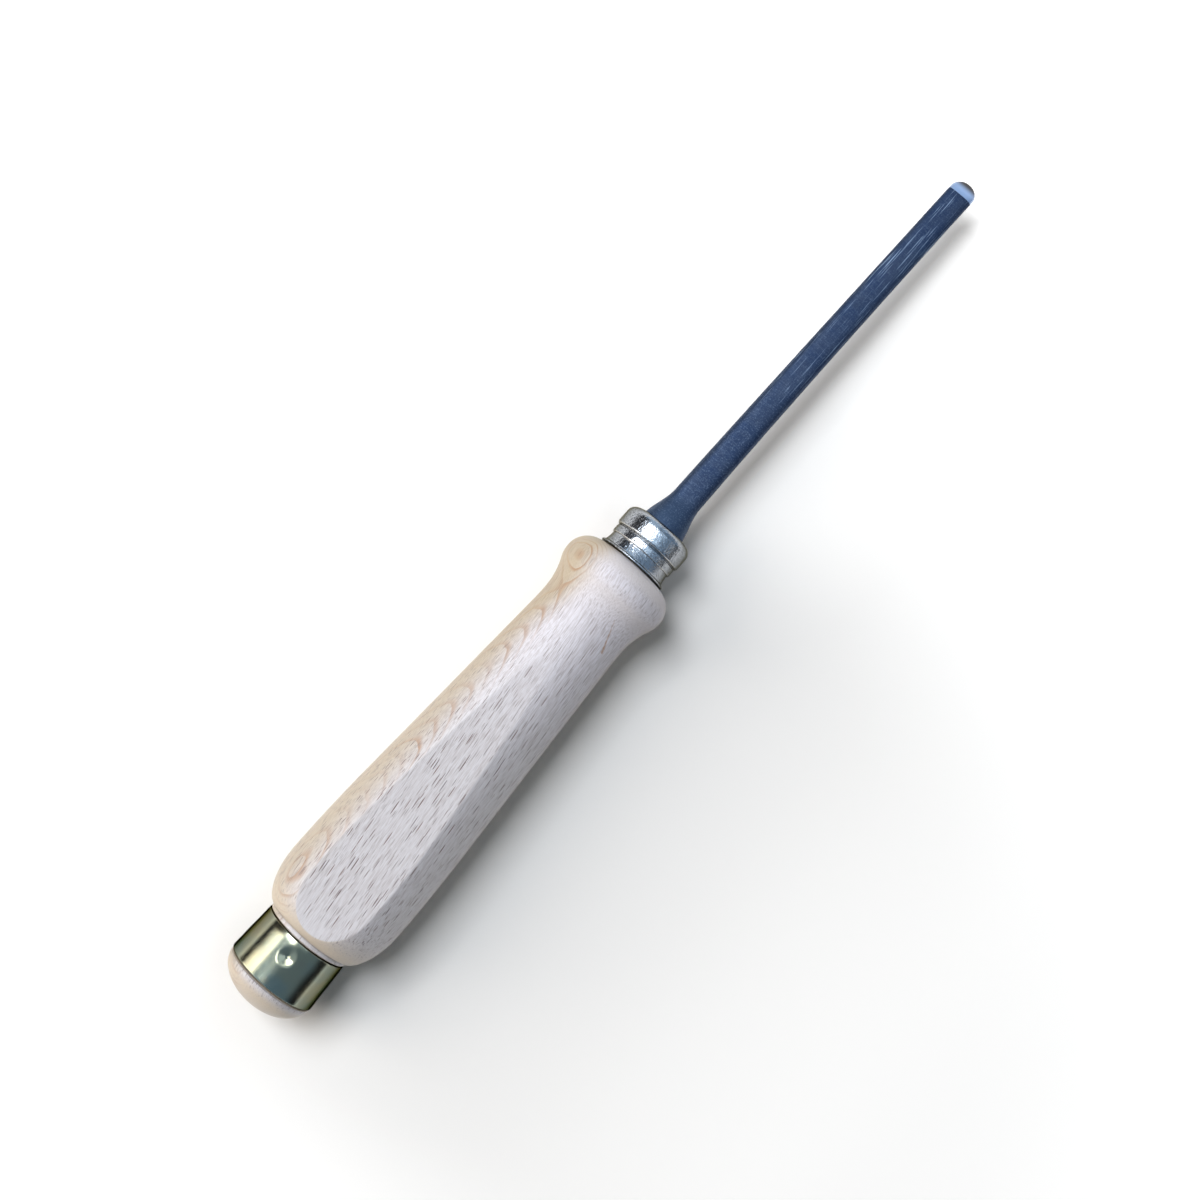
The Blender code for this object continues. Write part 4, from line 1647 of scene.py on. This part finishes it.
@dataclass(frozen=True)
class WhiteFloor:
    """White diffuse sheet that is lifted to white away from the tool, and clear from below.

    The lift grows with the distance from the handle, faster on the lit side and past the butt,
    and along the blade, so that it paints light over the outer part of the tool's cast shadow.
    The strip under the blade is left as the lamps light it.
    """

    half: float = 8.0
    drop: float = 0.02 * MM
    colour: Colour = (0.925, 0.911, 0.897)
    butt: float = -0.115
    butt_weight: float = 3.0
    bead_weight: float = 1.6
    lit_weight: float = 4.0
    close_lift: float = 0.085
    close_span: Span = (0.024, 0.09)
    wide_lift: float = 0.10
    wide_span: Span = (0.06, 0.13)
    blade_lift: float = 0.16
    fan_width: float = 0.03
    fan_slope: float = 0.8
    shade_middle: Triple = (-0.08, -0.04, 0.0)
    far_span: Span = (0.09, 0.40)
    strip_rear: Span = (0.012, 0.0)
    strip_front: Span = (0.122, 0.135)
    strip_side: Span = (0.0055, 0.0115)
    strip_lit_side: Span = (0.0, 0.004)

    def lift(self, graph: Graph) -> Socket:
        """Light that the floor adds to its own for the eye, by the place on it.

        Args:
            graph: Graph to build in.

        Returns:
            Strength of the lift.
        """
        place = graph.node("TexCoord").outputs["Object"]
        east, north, _ = graph.split(place)
        from_axis = graph.math("ABSOLUTE", north)
        past_butt = graph.times(graph.minus(self.butt, east), self.butt_weight)
        past_end = graph.highest(past_butt, graph.times(east, self.bead_weight), 0.0)
        aside = graph.highest(graph.times(north, self.lit_weight), graph.times(north, -1.0))
        from_handle = graph.vector("LENGTH", graph.combine(past_end, aside, 0.0))
        close = graph.times(graph.ease(from_handle, *self.close_span), self.close_lift)
        wide = graph.times(graph.ease(from_handle, *self.wide_span), self.wide_lift)
        fan = graph.total(graph.times(from_axis, self.fan_slope), self.fan_width)
        by_blade = graph.times(graph.ease(graph.math("DIVIDE", east, fan), 0.0, 1.0), self.blade_lift)
        from_shade = graph.vector("LENGTH", graph.vector("SUBTRACT", place, self.shade_middle))
        far = graph.ease(from_shade, *self.far_span)
        off_strip = graph.highest(
            graph.ease(from_axis, *self.strip_side), graph.ease(east, *self.strip_rear),
            graph.ease(east, *self.strip_front), graph.ease(north, *self.strip_lit_side))
        near = graph.highest(graph.total(close, wide), by_blade)
        return graph.times(graph.total(far, near), off_strip)

    def build(self) -> None:
        """Add the floor to the stage."""
        half = self.half
        corners = [(-half, -half, 0.0), (half, -half, 0.0), (half, half, 0.0), (-half, half, 0.0)]
        mesh = bpy.data.meshes.new("floor")
        mesh.from_pydata(corners, [], [(0, 1, 2, 3)])
        floor = bpy.data.objects.new("floor", mesh)
        floor.location.z = -self.drop
        bpy.context.scene.collection.objects.link(floor)
        graph, shader, material = new_finish("white_floor")
        graph.feed(shader, {
            "Base Color": self.colour,
            "Roughness": 1.0,
            "Specular IOR Level": 0.0,
            "Emission Color": WHITE,
            "Emission Strength": graph.times(looked_at(graph), self.lift(graph))})
        behind = graph.node("MixShader", {
            0: graph.node("NewGeometry").outputs["Backfacing"],
            1: shader.outputs[0],
            2: graph.node("BsdfTransparent").outputs[0]})
        graph.feed(material.node_tree.nodes["Material Output"], {"Surface": behind.outputs[0]})
        mesh.materials.append(material)


@dataclass(frozen=True)
class Surroundings:
    """World: white to the eye, in mirrors white low down under a bluish ceiling, else a dim fill.

    In mirrors the ceiling glows towards the key lamp and ends in a dark wall on either side.
    """

    ambient: Colour = (0.031, 0.025, 0.019)
    overhead: Colour = (0.27, 0.39, 0.54)
    glow: Colour = (0.75, 0.97, 1.20)
    glow_span: Span = (-0.10, 0.22)
    far_wall: Colour = (0.025, 0.025, 0.03)
    lit_wall_span: Span = (0.50, 0.74)
    near_wall_span: Span = (-0.80, -0.97)
    horizon: Span = (0.0, 0.06)

    def build(self) -> None:
        """Set the scene's world."""
        world = bpy.data.worlds.new("studio")
        world.use_nodes = True
        bpy.context.scene.world = world
        graph = Graph(world.node_tree)
        _, aside, up = graph.split(graph.node("TexCoord").outputs["Generated"])
        not_direct = graph.minus(1.0, graph.node("LightPath").outputs["Is Camera Ray"])
        mirrored = graph.times(graph.ease(up, *self.horizon), not_direct)
        ceiling = graph.mix(graph.ease(aside, *self.glow_span), self.overhead, self.glow)
        dark = graph.total(graph.ease(aside, *self.lit_wall_span), graph.ease(aside, *self.near_wall_span))
        walls = graph.mix(mirrored, WHITE, graph.mix(dark, ceiling, self.far_wall))
        shown = graph.mix(looked_at(graph), self.ambient, walls)
        graph.feed(world.node_tree.nodes["Background"], {"Color": shown})


@dataclass(frozen=True)
class Viewpoint:
    """Camera above the tool, turned so that the blade points up and to the right."""

    aim_station: float = 122.47 * MM
    distance: float = 377.0 * MM
    tilt: float = math.radians(3.6)
    roll: float = math.radians(1.5)
    heading: float = math.radians(48.93)
    focal_pixels: float = 1606.0
    image_pixels: float = 1200.0
    sensor: float = 36.0
    clip_start: float = 10.0 * MM

    def build(self, axis: ToolAxis) -> None:
        """Place the camera and make it the scene's.

        Args:
            axis: Axis of the tool, which the tilt is measured from.
        """
        camera = bpy.data.cameras.new("camera")
        camera.sensor_width = self.sensor
        camera.lens = self.focal_pixels / self.image_pixels * self.sensor
        camera.clip_start = self.clip_start
        slope = self.tilt + axis.lean
        forward = Vector((math.sin(slope), math.sin(self.roll), -math.cos(slope))).normalized()
        along = Vector((1.0, 0.0, 0.0))
        along = (along - along.dot(forward) * forward).normalized()
        aside = along.cross(forward)
        right = math.cos(self.heading) * along - math.sin(self.heading) * aside
        above = math.sin(self.heading) * along + math.cos(self.heading) * aside
        target = Vector(axis.place(np.float64(self.aim_station), np.float64(0.0), np.float64(0.0)))
        turn = Matrix((right, above, -forward)).transposed().to_4x4()
        holder = bpy.data.objects.new("camera", camera)
        holder.matrix_world = Matrix.Translation(target - self.distance * forward) @ turn
        bpy.context.scene.collection.objects.link(holder)
        bpy.context.scene.camera = holder


@dataclass(frozen=True)
class Studio:
    """White floor, surroundings, five soft boxes and the camera."""

    floor: WhiteFloor = WhiteFloor()
    surroundings: Surroundings = Surroundings()
    viewpoint: Viewpoint = Viewpoint()
    lamps: tuple[SoftBox, ...] = (
        SoftBox("key_window", place=(0.06, 0.45, 1.10), aim=ZERO,
                size=(0.44, 0.60), power=10.4, colour=(0.93, 0.965, 1.0)),
        SoftBox("cool_overhead", place=(0.15, -0.26, 1.12), aim=(0.15, -0.26, 0.0),
                size=(0.44, 0.50), power=1.1, colour=(0.68, 0.85, 1.0)),
        SoftBox("warm_strip", place=(-0.56, 1.03, 0.77), aim=(-0.05, 0.0, 0.0),
                size=(0.62, 0.86), power=9.8, colour=(1.0, 0.94, 0.87)),
        SoftBox("near_card", place=(0.12, -0.95, 0.48), aim=(0.03, 0.0, 0.0),
                size=(0.30, 0.12), power=0.16, colour=(1.0, 0.96, 0.88)),
        SoftBox("cool_far", place=(1.15, -0.12, 0.34), aim=(0.1, 0.0, 0.0),
                size=(0.50, 0.30), power=0.6, colour=(0.70, 0.84, 1.0)))

    def build(self, axis: ToolAxis) -> None:
        """Build all of it around the tool, and set how colours are shown.

        Args:
            axis: Axis of the tool.
        """
        self.floor.build()
        self.surroundings.build()
        for lamp in self.lamps:
            lamp.build()
        self.viewpoint.build(axis)
        bpy.context.scene.view_settings.view_transform = "Standard"


def main() -> None:
    """Load the frame, build and dress the four pieces, then add the studio and the camera."""
    logging.basicConfig(level=logging.INFO, format="%(name)s: %(message)s")
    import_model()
    shared = SharedEffects(make_fine_grain(), make_rubbed_edges())
    dimple = Dimple()
    handle, hoop, ferrule, blade = TurnedHandle(), ButtHoop(), StepFerrule(), ForgedBlade()
    axis = handle.axis()
    handle.dress(handle.build(axis, dimple), shared)
    hoop.dress(hoop.build(axis, dimple), shared)
    ferrule.dress(ferrule.build(axis), shared)
    blade.dress(blade.build(axis), shared)
    Studio().build(axis)


if __name__ == "__main__":
    main()
